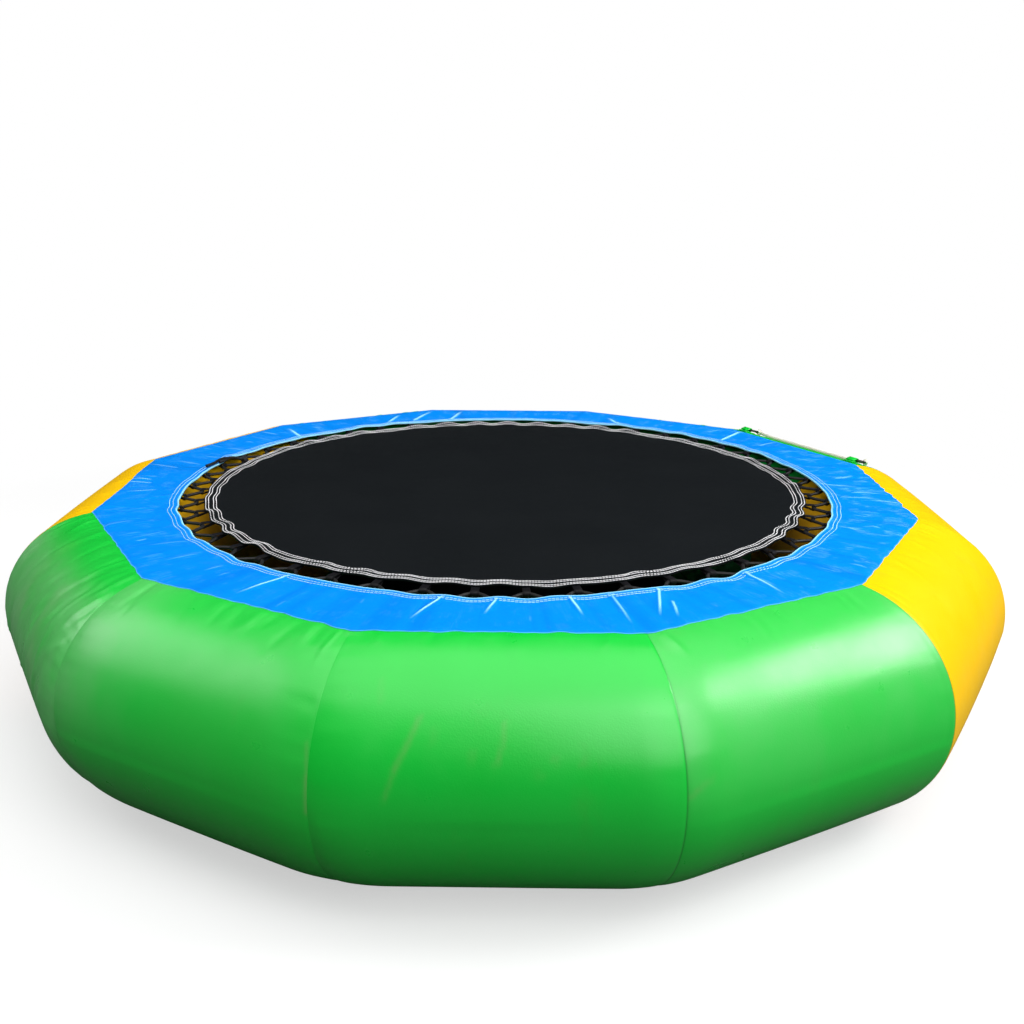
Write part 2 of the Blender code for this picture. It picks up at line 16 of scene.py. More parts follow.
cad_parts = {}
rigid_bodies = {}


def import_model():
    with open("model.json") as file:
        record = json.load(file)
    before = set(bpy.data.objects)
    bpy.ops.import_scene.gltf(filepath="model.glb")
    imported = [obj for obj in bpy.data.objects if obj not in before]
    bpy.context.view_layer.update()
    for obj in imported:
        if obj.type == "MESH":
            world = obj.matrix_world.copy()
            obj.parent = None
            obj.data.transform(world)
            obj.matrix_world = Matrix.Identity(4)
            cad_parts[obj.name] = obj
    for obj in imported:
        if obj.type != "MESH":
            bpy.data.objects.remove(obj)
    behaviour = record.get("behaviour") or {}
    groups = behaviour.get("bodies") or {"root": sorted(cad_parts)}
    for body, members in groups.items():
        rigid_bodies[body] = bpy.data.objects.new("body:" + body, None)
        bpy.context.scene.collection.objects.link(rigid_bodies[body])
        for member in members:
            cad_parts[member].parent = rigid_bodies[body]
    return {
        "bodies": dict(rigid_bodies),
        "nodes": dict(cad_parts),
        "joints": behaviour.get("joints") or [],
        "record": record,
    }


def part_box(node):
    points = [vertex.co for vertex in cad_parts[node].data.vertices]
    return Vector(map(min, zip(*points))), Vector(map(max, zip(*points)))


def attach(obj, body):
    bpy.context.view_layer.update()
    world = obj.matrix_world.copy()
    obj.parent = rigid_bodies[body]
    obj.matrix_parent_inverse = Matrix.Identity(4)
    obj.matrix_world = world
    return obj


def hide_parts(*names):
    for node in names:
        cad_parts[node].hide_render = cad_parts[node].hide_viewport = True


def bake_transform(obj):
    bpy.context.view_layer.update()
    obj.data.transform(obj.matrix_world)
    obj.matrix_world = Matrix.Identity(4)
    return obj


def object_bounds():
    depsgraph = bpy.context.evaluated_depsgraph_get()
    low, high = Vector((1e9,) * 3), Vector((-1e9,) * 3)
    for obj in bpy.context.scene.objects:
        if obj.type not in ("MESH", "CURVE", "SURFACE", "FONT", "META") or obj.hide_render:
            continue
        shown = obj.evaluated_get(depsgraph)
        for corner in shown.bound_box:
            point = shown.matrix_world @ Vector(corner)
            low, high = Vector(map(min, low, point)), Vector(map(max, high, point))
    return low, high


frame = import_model()
cad_low, cad_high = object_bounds()

# %% [markdown]
# Sizes come from the frame's boxes where a box shows them. The tube's section is a circle whose centre
# runs round the ring at TUBE_CENTRE, and the ring has twelve straight panels.

# %% Sizes of the ring
PANELS = 12
PANEL_TURN = math.tau / PANELS
HALF_TURN = PANEL_TURN / 2
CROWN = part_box("tube_segment_01")[1][2]
TUBE_RADIUS = CROWN / 2
TUBE_CENTRE = cad_high[0] - TUBE_RADIUS
print("tube radius", round(TUBE_RADIUS, 4), "ring radius", round(TUBE_CENTRE, 4))

# %% [markdown]
# The shapes below are sums of a few plain curves: a smooth step up, the same step down, and a bell.
# Whatever is round goes once round in equal steps.

# %% Steps, bells and turns
def smooth_step(value, low, high):
    """0 below low, 1 above high, and 3t^2 - 2t^3 between them."""
    t = np.clip((value - low) / (high - low), 0.0, 1.0)
    return t * t * (3.0 - 2.0 * t)


def fall(value, low, high):
    """1 below low and 0 above high: smooth_step the other way round."""
    return 1.0 - smooth_step(value, low, high)


def bell(distance, width):
    """1 at no distance, and exp(-(distance / width)^2) further away."""
    return np.exp(-((distance / width) ** 2))


def full_turn(steps):
    """Angles in equal steps once round, without the last one, which is the first again."""
    return np.arange(steps) * math.tau / steps


# %% [markdown]
# Most pieces here are grids: a table of points with rows and columns, worked out as whole arrays. One
# helper lists the faces between them. It can close the rows or the columns into a loop, so a tube, a
# ring and a thin shell all come from the same few lines.

# %% Faces of a grid
def grid_faces(rows, columns, close_rows, close_columns):
    """The four corners of each cell of a table, with the last row or column joined to the first."""
    row = np.arange(rows if close_rows else rows - 1)[:, None]
    column = np.arange(columns if close_columns else columns - 1)[None, :]
    next_row, next_column = (row + 1) % rows, (column + 1) % columns
    corners = [row * columns + column, row * columns + next_column]
    corners += [next_row * columns + next_column, next_row * columns + column]
    return np.stack(corners, axis=-1).reshape(-1, 4)


def closing_fans(rows, columns):
    """Triangles from a table's first and last column to the two points that follow the table."""
    first = np.arange(rows) * columns
    last, middle = first + columns - 1, np.full(rows, rows * columns)
    fans = [np.stack([first, np.roll(first, -1), middle], axis=-1)]
    fans.append(np.stack([np.roll(last, -1), last, middle + 1], axis=-1))
    return np.concatenate(fans).tolist()


# %% [markdown]
# The points and faces then become one mesh object at the origin. A closed shape whose faces point
# inwards has a negative volume, so the sign of the volume says whether they have to be turned round.

# %% A new piece
def enclosed_volume(mesh, points):
    """The sum of the signed volumes of the wedges from the origin to each triangle of a closed mesh."""
    mesh.calc_loop_triangles()
    corners = np.empty(3 * len(mesh.loop_triangles), np.int32)
    mesh.loop_triangles.foreach_get("vertices", corners)
    a, b, c = points[corners.reshape(-1, 3)].transpose(1, 0, 2)
    return float(np.einsum("ij,ij->i", a, np.cross(b, c)).sum() / 6.0)


def new_piece(name, points, faces, material, uv=None):
    """One closed mesh object at the origin, its faces outwards. uv is a pair in metres for each point."""
    mesh = bpy.data.meshes.new(name)
    points = np.asarray(points, float).reshape(-1, 3)
    mesh.from_pydata(points.tolist(), [], [list(face) for face in faces])
    if enclosed_volume(mesh, points) < 0.0:
        mesh.flip_normals()
    if uv is not None:
        loops = np.empty(len(mesh.loops), np.int32)
        mesh.loops.foreach_get("vertex_index", loops)
        layer = mesh.uv_layers.new(name="surface")
        layer.data.foreach_set("uv", np.asarray(uv, np.float32).reshape(-1, 2)[loops].ravel())
    mesh.shade_smooth()
    mesh.set_sharp_from_angle(angle=math.radians(50.0))
    mesh.materials.append(material)
    mesh.validate()
    item = bpy.data.objects.new(name, mesh)
    bpy.context.scene.collection.objects.link(item)
    return item


def set_numbers(item, numbers):
    """Named numbers for each point of the mesh, which a material can read by their names."""
    for name, values in numbers.items():
        layer = item.data.attributes.new(name, "FLOAT", "POINT")
        layer.data.foreach_set("value", np.asarray(values, np.float32).ravel())


# %% [markdown]
# Every finished piece tells the frame two things: the body that it moves with and the imported node that it
# stands for.

# %% Tell the frame about a piece
def stands_for(piece, body, node):
    """The piece rides on a body and replaces a node."""
    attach(piece, body)
    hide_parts(node)
    return piece


# %% [markdown]
# Every place on the ring is easiest to name by its turn round the ring. This helper takes a piece drawn
# at the front, with x along the panel, out away from the centre and z up, and turns it to its place.

# %% Places round the ring
def around(turn, side, out, up):
    """Points at a distance out from the centre, moved sideways along the panel, and at height up."""
    x = out * np.sin(turn) + side * np.cos(turn)
    y = -out * np.cos(turn) + side * np.sin(turn)
    return np.stack(np.broadcast_arrays(x, y, up), axis=-1)


def panel_out(radius, turn):
    """The distance of a point from the centre, measured square to its nearest panel."""
    offset = (np.asarray(turn) + HALF_TURN) % PANEL_TURN - HALF_TURN
    return radius * np.cos(offset)


def tube_top(out):
    """The height of the tube's upper wall: its centre's height plus the rise of a circle."""
    across = np.clip(np.abs(out - TUBE_CENTRE), 0.0, TUBE_RADIUS)
    return TUBE_RADIUS + np.sqrt(TUBE_RADIUS**2 - across**2)


# %% [markdown]
# Materials
#
# The coated fabric is a woven base under a soft plastic skin. It shows as a strong flat colour with a
# broad soft gloss, faint cloudiness where it has been folded and handled, and a weave so fine that it
# only breaks up the gloss. So the colour, the roughness and the bump each get their own noise.

# %% Material helper
def new_material(name, colour, roughness, metallic=0.0, specular=0.5):
    """A material with its nodes and its shader, set to a plain colour and roughness."""
    material = bpy.data.materials.new(name)
    material.use_nodes = True
    tree = material.node_tree
    shader = tree.nodes["Principled BSDF"]
    shader.inputs["Base Color"].default_value = (*colour, 1.0)
    shader.inputs["Roughness"].default_value = roughness
    shader.inputs["Metallic"].default_value = metallic
    shader.inputs["Specular IOR Level"].default_value = specular
    return material, tree, shader


def add_node(tree, kind, values=(), **settings):
    """A node with its settings, and its inputs filled from name and value or from name and socket."""
    node = tree.nodes.new(kind)
    for key, value in settings.items():
        setattr(node, key, value)
    for key, value in dict(values).items():
        if isinstance(value, bpy.types.NodeSocket):
            tree.links.new(value, node.inputs[key])
        else:
            node.inputs[key].default_value = value
    return node


# %% [markdown]
# Most materials here join the same few nodes: noise, a change of range, a mix of two colours, and small
# sums. Each gets a short name, so that a material reads like its recipe.

# %% Nodes with short names
def object_place(tree):
    """The place of a point in metres, in the frame that all pieces share."""
    return add_node(tree, "ShaderNodeTexCoord").outputs["Object"]


def noise(tree, place, scale, detail=3.0, roughness=0.5):
    """Soft random values between 0 and 1, about scale of them to a metre."""
    values = {"Vector": place, "Scale": scale, "Detail": detail, "Roughness": roughness}
    return add_node(tree, "ShaderNodeTexNoise", values).outputs["Fac"]


def remap(tree, value, low, high, to_low, to_high):
    """The value's range from low to high becomes the range from to_low to to_high, and ends there."""
    values = {"Value": value, "From Min": low, "From Max": high, "To Min": to_low, "To Max": to_high}
    return add_node(tree, "ShaderNodeMapRange", values).outputs["Result"]


def blend_colours(tree, share, first, second):
    """A mix of two colours or colour sockets."""
    node = add_node(tree, "ShaderNodeMix", data_type="RGBA")
    for socket, value in (("Factor", share), ("A", first), ("B", second)):
        target = next(s for s in node.inputs if s.name == socket and s.enabled)
        if isinstance(value, bpy.types.NodeSocket):
            tree.links.new(value, target)
        else:
            target.default_value = (*value, 1.0) if socket != "Factor" else value
    return next(s for s in node.outputs if s.enabled)


def arithmetic(tree, operation, first, second=0.0):
    """One step of arithmetic with a socket and a number, or with two sockets."""
    return add_node(tree, "ShaderNodeMath", {0: first, 1: second}, operation=operation).outputs[0]


def product(tree, first, second):
    """Both shares at once: their product."""
    return arithmetic(tree, "MULTIPLY", first, second)


def larger(tree, first, second):
    """The larger of two shares."""
    return arithmetic(tree, "MAXIMUM", first, second)


def vector_math(tree, operation, values, output="Vector"):
    """One step of arithmetic with places, and the output that is wanted of it."""
    return add_node(tree, "ShaderNodeVectorMath", values, operation=operation).outputs[output]


def toned(colour, share):
    """The colour made darker, or lighter where share is above 1."""
    return tuple(share * channel for channel in colour)


def paint(tree, shader, colour, roughness=None):
    """The shader takes its colour from one socket and, where one is given, its roughness from another."""
    tree.links.new(colour, shader.inputs["Base Color"])
    if roughness is not None:
        tree.links.new(roughness, shader.inputs["Roughness"])


def set_bump(tree, shader, height, distance, strength=1.0):
    """A bump, laid over the one that the shader has already."""
    values = {"Height": height, "Distance": distance, "Strength": strength}
    for link in shader.inputs["Normal"].links:
        values["Normal"] = link.from_socket
    bump = add_node(tree, "ShaderNodeBump", values)
    tree.links.new(bump.outputs["Normal"], shader.inputs["Normal"])


# %% Coated fabric
CLOUD_SCALE = 2.2
GRIME_SCALE = 7.0
HANDLING_SCALE = 16.0
SCRIM_SCALE = 420.0
# Each row is a noise's range and the shares that its two ends become.
CLOUD_SHARE = (0.35, 0.7, 0.0, 1.0)
GRIME_SHARE = (0.62, 0.80, 0.0, 0.12)
SCUFF_SHARE = (0.35, 0.6, 0.3, 1.0)
HIGHLIGHT_WASH_SHARE = (0.35, 0.62, 0.5, 1.0)
GRIME_STRETCH = (1.0, 1.0, 0.35)
GLOSS_SPREAD = (-0.04, 0.06)
SCRIM_DEPTH = 0.0004
GRIME_COLOUR = (0.16, 0.15, 0.06)
SCUFF_COLOUR = (0.26, 0.34, 0.14)
# A pale green painted highlight over the walls of some panels.
HIGHLIGHT_WASH_COLOUR = (0.30, 0.52, 0.30)
SEAM_COLOUR = (0.004, 0.060, 0.012)
# Distances from the middle over which the inner wall's painted shade fades out.
INNER_SHADE_REACH = (0.60, 0.74)


def number_on_mesh(tree, name):
    """The number that the mesh carries under this name."""
    return add_node(tree, "ShaderNodeAttribute", attribute_name=name).outputs["Fac"]


def ring_place(tree):
    """The direction of a point from the ring's middle, and its distance, both seen from above."""
    flat = vector_math(tree, "MULTIPLY", {0: object_place(tree), 1: (1.0, 1.0, 0.0)})
    return vector_math(tree, "NORMALIZE", {0: flat}), vector_math(tree, "LENGTH", {0: flat}, "Value")


def coated_fabric(name, colour, cloudy_colour, inner_shade, roughness, gloss_level):
    """A clear colour with faint clouds, grime and scuffs, a pale painted highlight, a broken gloss, and the
    weave's print.

    The wall that faces the ring's middle is painted a deeper colour, a painted shade, because little light
    gets there.
    """
    material, tree, shader = new_material(name, colour, roughness, specular=gloss_level)
    place = object_place(tree)
    clouds = remap(tree, noise(tree, place, CLOUD_SCALE, 4.0), *CLOUD_SHARE)
    tone = blend_colours(tree, clouds, colour, cloudy_colour)
    # The wall that faces the middle is painted darker: painted shade.
    inner = remap(tree, ring_place(tree)[1], *INNER_SHADE_REACH, 1.0, 0.0)
    tone = blend_colours(tree, inner, tone, inner_shade)
    stretched = add_node(tree, "ShaderNodeMapping", {"Vector": place, "Scale": GRIME_STRETCH})
    blotches = noise(tree, stretched.outputs[0], GRIME_SCALE, 6.0, 0.65)
    scuffs = product(tree, number_on_mesh(tree, "scuff"), remap(tree, blotches, *SCUFF_SHARE))
    # The painted highlight, where the mesh carries it, broken up by the blotches.
    highlight_share = product(tree, number_on_mesh(tree, "highlight_wash"), remap(tree, blotches, *HIGHLIGHT_WASH_SHARE))
    tone = blend_colours(tree, remap(tree, blotches, *GRIME_SHARE), tone, GRIME_COLOUR)
    tone = blend_colours(tree, scuffs, tone, SCUFF_COLOUR)
    tone = blend_colours(tree, highlight_share, tone, HIGHLIGHT_WASH_COLOUR)
    tone = blend_colours(tree, number_on_mesh(tree, "seam"), tone, SEAM_COLOUR)
    handling = noise(tree, place, HANDLING_SCALE, 6.0, 0.6)
    dull, duller = (roughness + spread for spread in GLOSS_SPREAD)
    paint(tree, shader, tone, remap(tree, handling, 0.3, 0.7, dull, duller))
    scrim = noise(tree, place, SCRIM_SCALE, 2.0)
    set_bump(tree, shader, arithmetic(tree, "ADD", scrim, handling), SCRIM_DEPTH, 0.35)
    return material


# %% [markdown]
# Each colour has a clear tone, a cloudier one where the fabric was folded, and, for the ring, a deeper one
# for the wall that faces the middle, which is painted shade. Green has the strongest gloss.

# %% Colours of the fabric
GREEN = (0.001, 0.545, 0.034)
GREEN_CLOUDY = (0.006, 0.590, 0.048)
# The inner tones are painted shade for the walls that face the ring's middle.
GREEN_INNER_SHADE = (0.0, 0.280, 0.080)
YELLOW = (0.950, 0.545, 0.0)
YELLOW_CLOUDY = (0.980, 0.580, 0.001)
YELLOW_INNER_SHADE = (0.480, 0.215, 0.013)
BLUE = (0.0, 0.228, 0.840)
BLUE_CLOUDY = (0.0, 0.245, 0.870)

green_pvc = coated_fabric("green_pvc_look", GREEN, GREEN_CLOUDY, GREEN_INNER_SHADE, 0.31, 0.66)
yellow_pvc = coated_fabric("yellow_pvc_look", YELLOW, YELLOW_CLOUDY, YELLOW_INNER_SHADE, 0.36, 0.14)
print("coated fabrics:", green_pvc.name, yellow_pvc.name)

# %% [markdown]
# The ring's panels
#
# Each panel is a straight piece of tube between two slanted seams. Air pushes it out a little in the
# middle, each seam pulls it in along a narrow valley, and the fabric puckers where it has to be shorter
# than its neighbour: next to the seams and below the cover's weld. A circle swept along the panel
# gives the tube, and one relief function adds all of that to its radius.

# %% Sizes of the relief
SHELL_DEPTH = 0.0035
SEAM_GAP = 0.0001
BULGE = 0.0035
FOLD_SHARE = 0.75
PANEL_COLUMNS = 112
LINING_COLUMNS = 8
SECTION_ROWS = 168
WELD_RISE = math.radians(83.0)
YELLOW_PANELS = (3, 4, 9, 10)
SHARP_SEAM = (0.0010, 0.0026)
NEAT_SEAM = (0.0007, 0.0030)
SOFT_SEAM = (0.0012, 0.0150)
SEAM_AFTER_PANEL = {1: NEAT_SEAM, 11: SOFT_SEAM, 12: SOFT_SEAM}
ROUNDING_REACH = {NEAT_SEAM: 0.060, SOFT_SEAM: 0.080}
WRINKLED_PANELS = {11: 3.0, 12: 0.9}
PLAIN_WRINKLES = 0.55
LOOSE_WELD = (math.radians(89.0), math.radians(11.0))
WIDE_LAP = 0.009
WIDE_LAP_TURNS = np.radians([138.0, 150.0, 262.0, 272.0])
WELD_WAVE_COUNTS = (31, 43, 58, 73, 97, 131)
WELD_WAVE_SIZE = 0.0009
PUCKER_LENGTHS = (0.024, 0.037, 0.061)
PUCKER_REACH = 0.016
PUCKER_HEIGHT = 0.00030
PLEAT_PITCH = 0.020
SWELL_HEIGHT = 0.00035
PRESSED_IN = 0.0002


def panel_before(number):
    """The number of the panel on the other side of this one's first seam."""
    return (number - 2) % PANELS + 1


# %% The weld of the cover
def weld_wave(turn):
    """How far the cover's outer edge strays from a straight line: six uneven waves, weaker at the sides.

    One stretch at the right is welded less neatly, and its waves are larger. At the back the sheet
    laps a little further over the tube.
    """
    start, full, less, end = WIDE_LAP_TURNS
    place = turn % math.tau
    lap = WIDE_LAP * smooth_step(place, start, full) * fall(place, less, end)
    rng = np.random.default_rng(19)
    wave = np.zeros_like(turn)
    for count in WELD_WAVE_COUNTS:
        wave = wave + rng.uniform(0.4, 1.0) * np.sin(count * turn + rng.uniform(0.0, math.tau))
    loose = bell(place - LOOSE_WELD[0], LOOSE_WELD[1])
    return lap + WELD_WAVE_SIZE * (1.0 - 0.65 * np.sin(turn) ** 2 + 1.6 * loose) * wave


# %% [markdown]
# Every mark on the wall is a small height that is added to the tube's radius. A fold is a ridge along a
# line, a seam is a valley that dies away on both sides, and puckers are ripples beside a seam.

# %% Ridges, seams and puckers
def ridge(u, v, start, end, width, height):
    """A rounded ridge along the line from start to end: a bell across it, and faded at both tips."""
    along = np.array(end) - np.array(start)
    length = np.hypot(*along)
    share = ((u - start[0]) * along[0] + (v - start[1]) * along[1]) / length**2
    across = ((u - start[0]) * along[1] - (v - start[1]) * along[0]) / length
    return height * (smooth_step(share, -0.1, 0.25) * fall(share, 0.6, 1.1)) * bell(across, width)


def seam_valley(distance, size):
    """A valley whose depth dies away with the distance from the seam."""
    depth, width = size
    return -depth * np.exp(-distance / width)


def corner_rounding(distance, rise, reach):
    """Where two panels turn into each other smoothly: a parabola that ends at half the angle between them."""
    short = np.maximum(reach - distance, 0.0)
    return -math.tan(HALF_TURN) * short**2 / (2.0 * reach) * np.cos(rise)


def seam_puckers(rng, distance, v, strength):
    """Ripples that run away from a seam: waves along it, strongest a finger's width from it."""
    wave = np.zeros_like(v)
    for length in PUCKER_LENGTHS:
        wave += np.sin(math.tau * v / length + rng.uniform(0.0, math.tau)) * rng.uniform(0.5, 1.0)
    reach = distance / PUCKER_REACH
    return strength * wave * reach * np.exp(1.0 - reach)


# %% [markdown]
# Pleats start at the cover's weld, and the two slackest panels also have long slanted wrinkles. Each one
# draws its place, lean and height from seeded random numbers, so it is the same in every run.

# %% Pleats, wrinkles and swells
def pleats(rng, u, v, strength):
    """Short folds that start at the cover's weld and run down the wall."""
    relief = np.zeros_like(u)
    half = TUBE_CENTRE * math.tan(HALF_TURN)
    for spot in np.arange(-half, half, PLEAT_PITCH):
        top = spot + rng.uniform(-0.009, 0.009)
        reach = rng.uniform(0.02, 0.075) * (1.0 + strength / 3.0)
        foot = top + rng.uniform(-0.25, 0.25) * reach
        height = rng.uniform(-0.0011, 0.0012) * strength
        weld = WELD_RISE * TUBE_RADIUS + 0.012
        relief += ridge(u, v, (top, weld), (foot, weld - reach), rng.uniform(0.004, 0.009), height)
    return relief


def slant_wrinkles(rng, u, v, strength):
    """Long soft folds that cross the panel from its upper right to its lower left."""
    relief = np.zeros_like(u)
    for _ in range(int(30 * strength)):
        start = (rng.uniform(-0.24, 0.24), rng.uniform(0.02, 0.30))
        length = rng.uniform(0.05, 0.16)
        lean = math.radians(rng.uniform(222.0, 258.0))
        end = (start[0] + length * math.cos(lean), start[1] + length * math.sin(lean))
        height = rng.uniform(-0.0012, 0.0014) * strength / 2.0
        relief += ridge(u, v, start, end, rng.uniform(0.004, 0.010), height)
    return relief


def unevenness(rng, u, v):
    """Slow swells of the wall, a sum of long waves."""
    relief = np.zeros_like(u)
    for _ in range(6):
        wave_u, wave_v = rng.uniform(-11.0, 11.0, 2)
        relief += np.sin(wave_u * u + wave_v * v + rng.uniform(0.0, math.tau))
    return SWELL_HEIGHT * relief


# %% Flat places under the fittings
# Each fitting's place along the panel, its rise in degrees, and how far round it the wall lies flat.
ANCHOR_SPOT = (0.0, 180.0, 0.085)
VALVE_SPOT = (0.0, 45.0, 0.045)
HANDLE_SPOTS = [(-0.185, 76.0, 0.045), (0.185, 76.0, 0.045), (0.0, 68.0, 0.030)]
FITTING_SPOTS = dict.fromkeys((1, 4, 10), [ANCHOR_SPOT]) | {5: HANDLE_SPOTS, 7: [ANCHOR_SPOT, VALVE_SPOT]}


def bare_share(number, u, v):
    """0 under a fitting of this panel, where the wall lies flat, and 1 away from it."""
    share = np.ones_like(u)
    for along, rise_degrees, reach in FITTING_SPOTS.get(number, ()):
        across = v - math.radians(rise_degrees) * TUBE_RADIUS
        away = np.hypot(u - along, across)
        share = share * smooth_step(away, reach, reach + 0.03)
    return share


# %% The whole relief
def panel_relief(number, share, rise):
    """How far the wall stands out from the plain tube, in metres."""
    rng = np.random.default_rng(100 + number)
    out = TUBE_CENTRE + TUBE_RADIUS * np.cos(rise)
    half = out * math.tan(HALF_TURN)
    u, v = share * half, rise * TUBE_RADIUS
    before = SEAM_AFTER_PANEL.get(panel_before(number), SHARP_SEAM)
    after = SEAM_AFTER_PANEL.get(number, SHARP_SEAM)
    to_before, to_after = (1.0 + share) * half, (1.0 - share) * half
    strength = WRINKLED_PANELS.get(number, PLAIN_WRINKLES)
    relief = BULGE * (1.0 - np.abs(share) ** 2.4) * np.maximum(np.cos(rise), 0.0) ** 2
    upper = 0.3 + 0.7 * smooth_step(np.sin(rise), -0.2, 0.8)
    for distance, seam in ((to_before, before), (to_after, after)):
        relief += seam_valley(distance, seam)
        relief += seam_puckers(rng, distance, v, PUCKER_HEIGHT * min(strength, 1.5)) * upper
        if seam in ROUNDING_REACH:
            relief += corner_rounding(distance, rise, ROUNDING_REACH[seam])
    quiet = smooth_step(np.minimum(to_before, to_after), 0.0, 0.02)
    relief += quiet * pleats(rng, u, v, 1.0 + 0.5 * min(strength, 2.0))
    if strength > 1.0:
        relief += quiet * slant_wrinkles(rng, u, v, strength)
    relief += quiet * unevenness(rng, u, v)
    weld = WELD_RISE - weld_wave((number - 1) * PANEL_TURN + np.arctan2(u, out)) / TUBE_RADIUS
    under_cover = smooth_step(rise, weld - 0.022, weld + 0.004)
    under_cover *= fall(rise, math.radians(140.0), math.radians(150.0))
    return relief * (1.0 - under_cover) * bare_share(number, u, v) - PRESSED_IN * under_cover


# %% [markdown]
# The coated fabric's material reads three numbers from each panel's mesh: scuffs where the wall was
# rubbed, a pale painted highlight on the panels that have it, and the dark line of each seam.

# %% Marks on the panels
SEAM_LINE = 0.0012
SEAM_DARKNESS = {NEAT_SEAM: 0.5, SOFT_SEAM: 0.0}
PLAIN_DARKNESS = 0.6
# Where the painted highlight comes in up the wall, as sines of the rise, and how much of it fades at the top.
CREASED_WASH_LEVELS = (-0.6, 0.3, 1.0)
PLAIN_WASH_LEVELS = (-0.2, 0.5, 0.35)
# Strokes of each panel: start along and up the wall, end along and up it, half width, and depth.
SCUFFS = {
    12: [(0.259, 0.109, 0.264, 0.063, 0.0032, 0.20), (0.264, 0.063, 0.264, 0.006, 0.0042, 0.34)],
    1: [(-0.111, 0.149, -0.123, 0.116, 0.0046, 0.24), (-0.123, 0.116, -0.141, 0.074, 0.0046, 0.27),
        (-0.141, 0.074, -0.153, 0.035, 0.0038, 0.17), (0.011, 0.140, 0.009, 0.114, 0.0042, 0.16),
        (0.009, 0.114, 0.000, 0.085, 0.0036, 0.17), (-0.034, 0.104, -0.034, 0.090, 0.0042, 0.13),
        (0.080, 0.094, 0.083, 0.091, 0.0055, 0.11), (0.055, 0.075, 0.061, 0.070, 0.0060, 0.11),
        (0.117, 0.088, 0.121, 0.090, 0.0045, 0.11), (-0.089, 0.130, -0.090, 0.114, 0.0060, 0.08),
        (-0.178, 0.205, -0.170, 0.170, 0.0045, 0.09)],
    2: [(-0.223, 0.060, -0.245, 0.050, 0.0050, 0.22), (-0.245, 0.050, -0.262, 0.038, 0.0046, 0.26)],
    11: [(0.10, 0.03, 0.10, 0.17, 0.030, 0.20), (-0.08, 0.09, -0.08, 0.23, 0.020, 0.16)],
}


def panel_scuffs(number, share, rise):
    """Rubbed marks of a panel: strokes that fade with the distance from the line between their two ends."""
    u, v = share * (TUBE_CENTRE + TUBE_RADIUS) * math.tan(HALF_TURN), rise * TUBE_RADIUS
    scuff = np.zeros_like(u)
    for u_start, v_start, u_end, v_end, wide, depth in SCUFFS.get(number, ()):
        along, up = u_end - u_start, v_end - v_start
        place = np.clip(((u - u_start) * along + (v - v_start) * up) / (along * along + up * up), 0.0, 1.0)
        away = np.hypot(u - u_start - place * along, v - v_start - place * up)
        scuff = np.maximum(scuff, depth * bell(away, wide))
    return scuff


def panel_numbers(number, share, rise):
    """Scuffs, the pale painted highlight, and the dark line of each seam, each a share from 0 to 1."""
    far = (1.0 - np.abs(share)) * (TUBE_CENTRE + TUBE_RADIUS * np.cos(rise)) * math.tan(HALF_TURN)
    seam = bell(far, SEAM_LINE)
    for side, before in ((1.0, number), (-1.0, panel_before(number))):
        depth = SEAM_DARKNESS.get(SEAM_AFTER_PANEL.get(before), PLAIN_DARKNESS)
        seam = np.where(share * side > 0.0, depth * seam, seam)
    seam = seam * (1.0 - 0.6 * smooth_step(np.sin(rise), 0.3, 0.9))
    level = np.sin(rise)
    at_left = fall(share, -1.0, -0.2)
    # A pale painted highlight on panels 2, 11 and 12, fading in up the wall.
    highlight_wash = {2: 0.20, 11: 0.47 - 0.05 * share, 12: 0.07 + 0.34 * at_left}.get(number, 0.0)
    low, high, faded = CREASED_WASH_LEVELS if number == 11 else PLAIN_WASH_LEVELS
    highlight_wash = highlight_wash * smooth_step(level, low, high) * (1.0 - faded * smooth_step(level, 0.75, 0.95))
    return {"scuff": panel_scuffs(number, share, rise), "highlight_wash": highlight_wash, "seam": seam}


# %% [markdown]
# A panel is a closed shell. Its columns crowd together at the two seams, where the relief is finest, and
# the last of them come back as a plain lining, so that the wall has a thickness.

# %% Shape of a panel
def panel_shape(number):
    """A closed shell: the outer wall from seam to seam, then a plain lining back again. Also its numbers."""
    t = np.linspace(-1.0, 1.0, PANEL_COLUMNS)
    outer = (1.0 - FOLD_SHARE) * t + FOLD_SHARE * np.sin(t * math.pi / 2.0)
    lining = np.linspace(1.0, -1.0, LINING_COLUMNS)
    share = np.concatenate([outer, lining])[:, None]
    rise = full_turn(SECTION_ROWS)[None, :]
    share, rise = np.broadcast_arrays(share, rise)
    relief = panel_relief(number, share, rise)
    relief[PANEL_COLUMNS:] = relief[[0, PANEL_COLUMNS - 1]].min() - SHELL_DEPTH
    radius = TUBE_RADIUS + relief
    out = TUBE_CENTRE + radius * np.cos(rise)
    up = np.maximum(TUBE_RADIUS + radius * np.sin(rise), 0.0)
    side = share * (out * math.tan(HALF_TURN) - SEAM_GAP / 2.0)
    return around((number - 1) * PANEL_TURN, side, out, up), panel_numbers(number, share, rise)


# %% Make the panels
panels = {}
for number in range(1, PANELS + 1):
    points, numbers = panel_shape(number)
    faces = grid_faces(*points.shape[:2], True, True)
    colour, slot = (yellow_pvc, "yellow_pvc") if number in YELLOW_PANELS else (green_pvc, "green_pvc")
    panels[number] = new_piece(f"panel_{number:02d}", points, faces, colour)
    set_numbers(panels[number], numbers)
    stands_for(panels[number], "ring", f"tube_segment_{number:02d}")
print("panels:", PANELS, "of", len(faces), "faces")

# %% [markdown]
# The cover sheet
#
# The blue cover is one sheet. Its outer edge is welded down along the tube's shoulder, and its inner
# edge is pulled to the middle by the lacing. Pull makes it flat, but each loop gathers the hem a little,
# so the hem waves between the loops and straight creases run out from it. The sheet is a grid of
# rays and rings, and its height is the tube's top or the flat stretch, plus the hem, waves and creases.

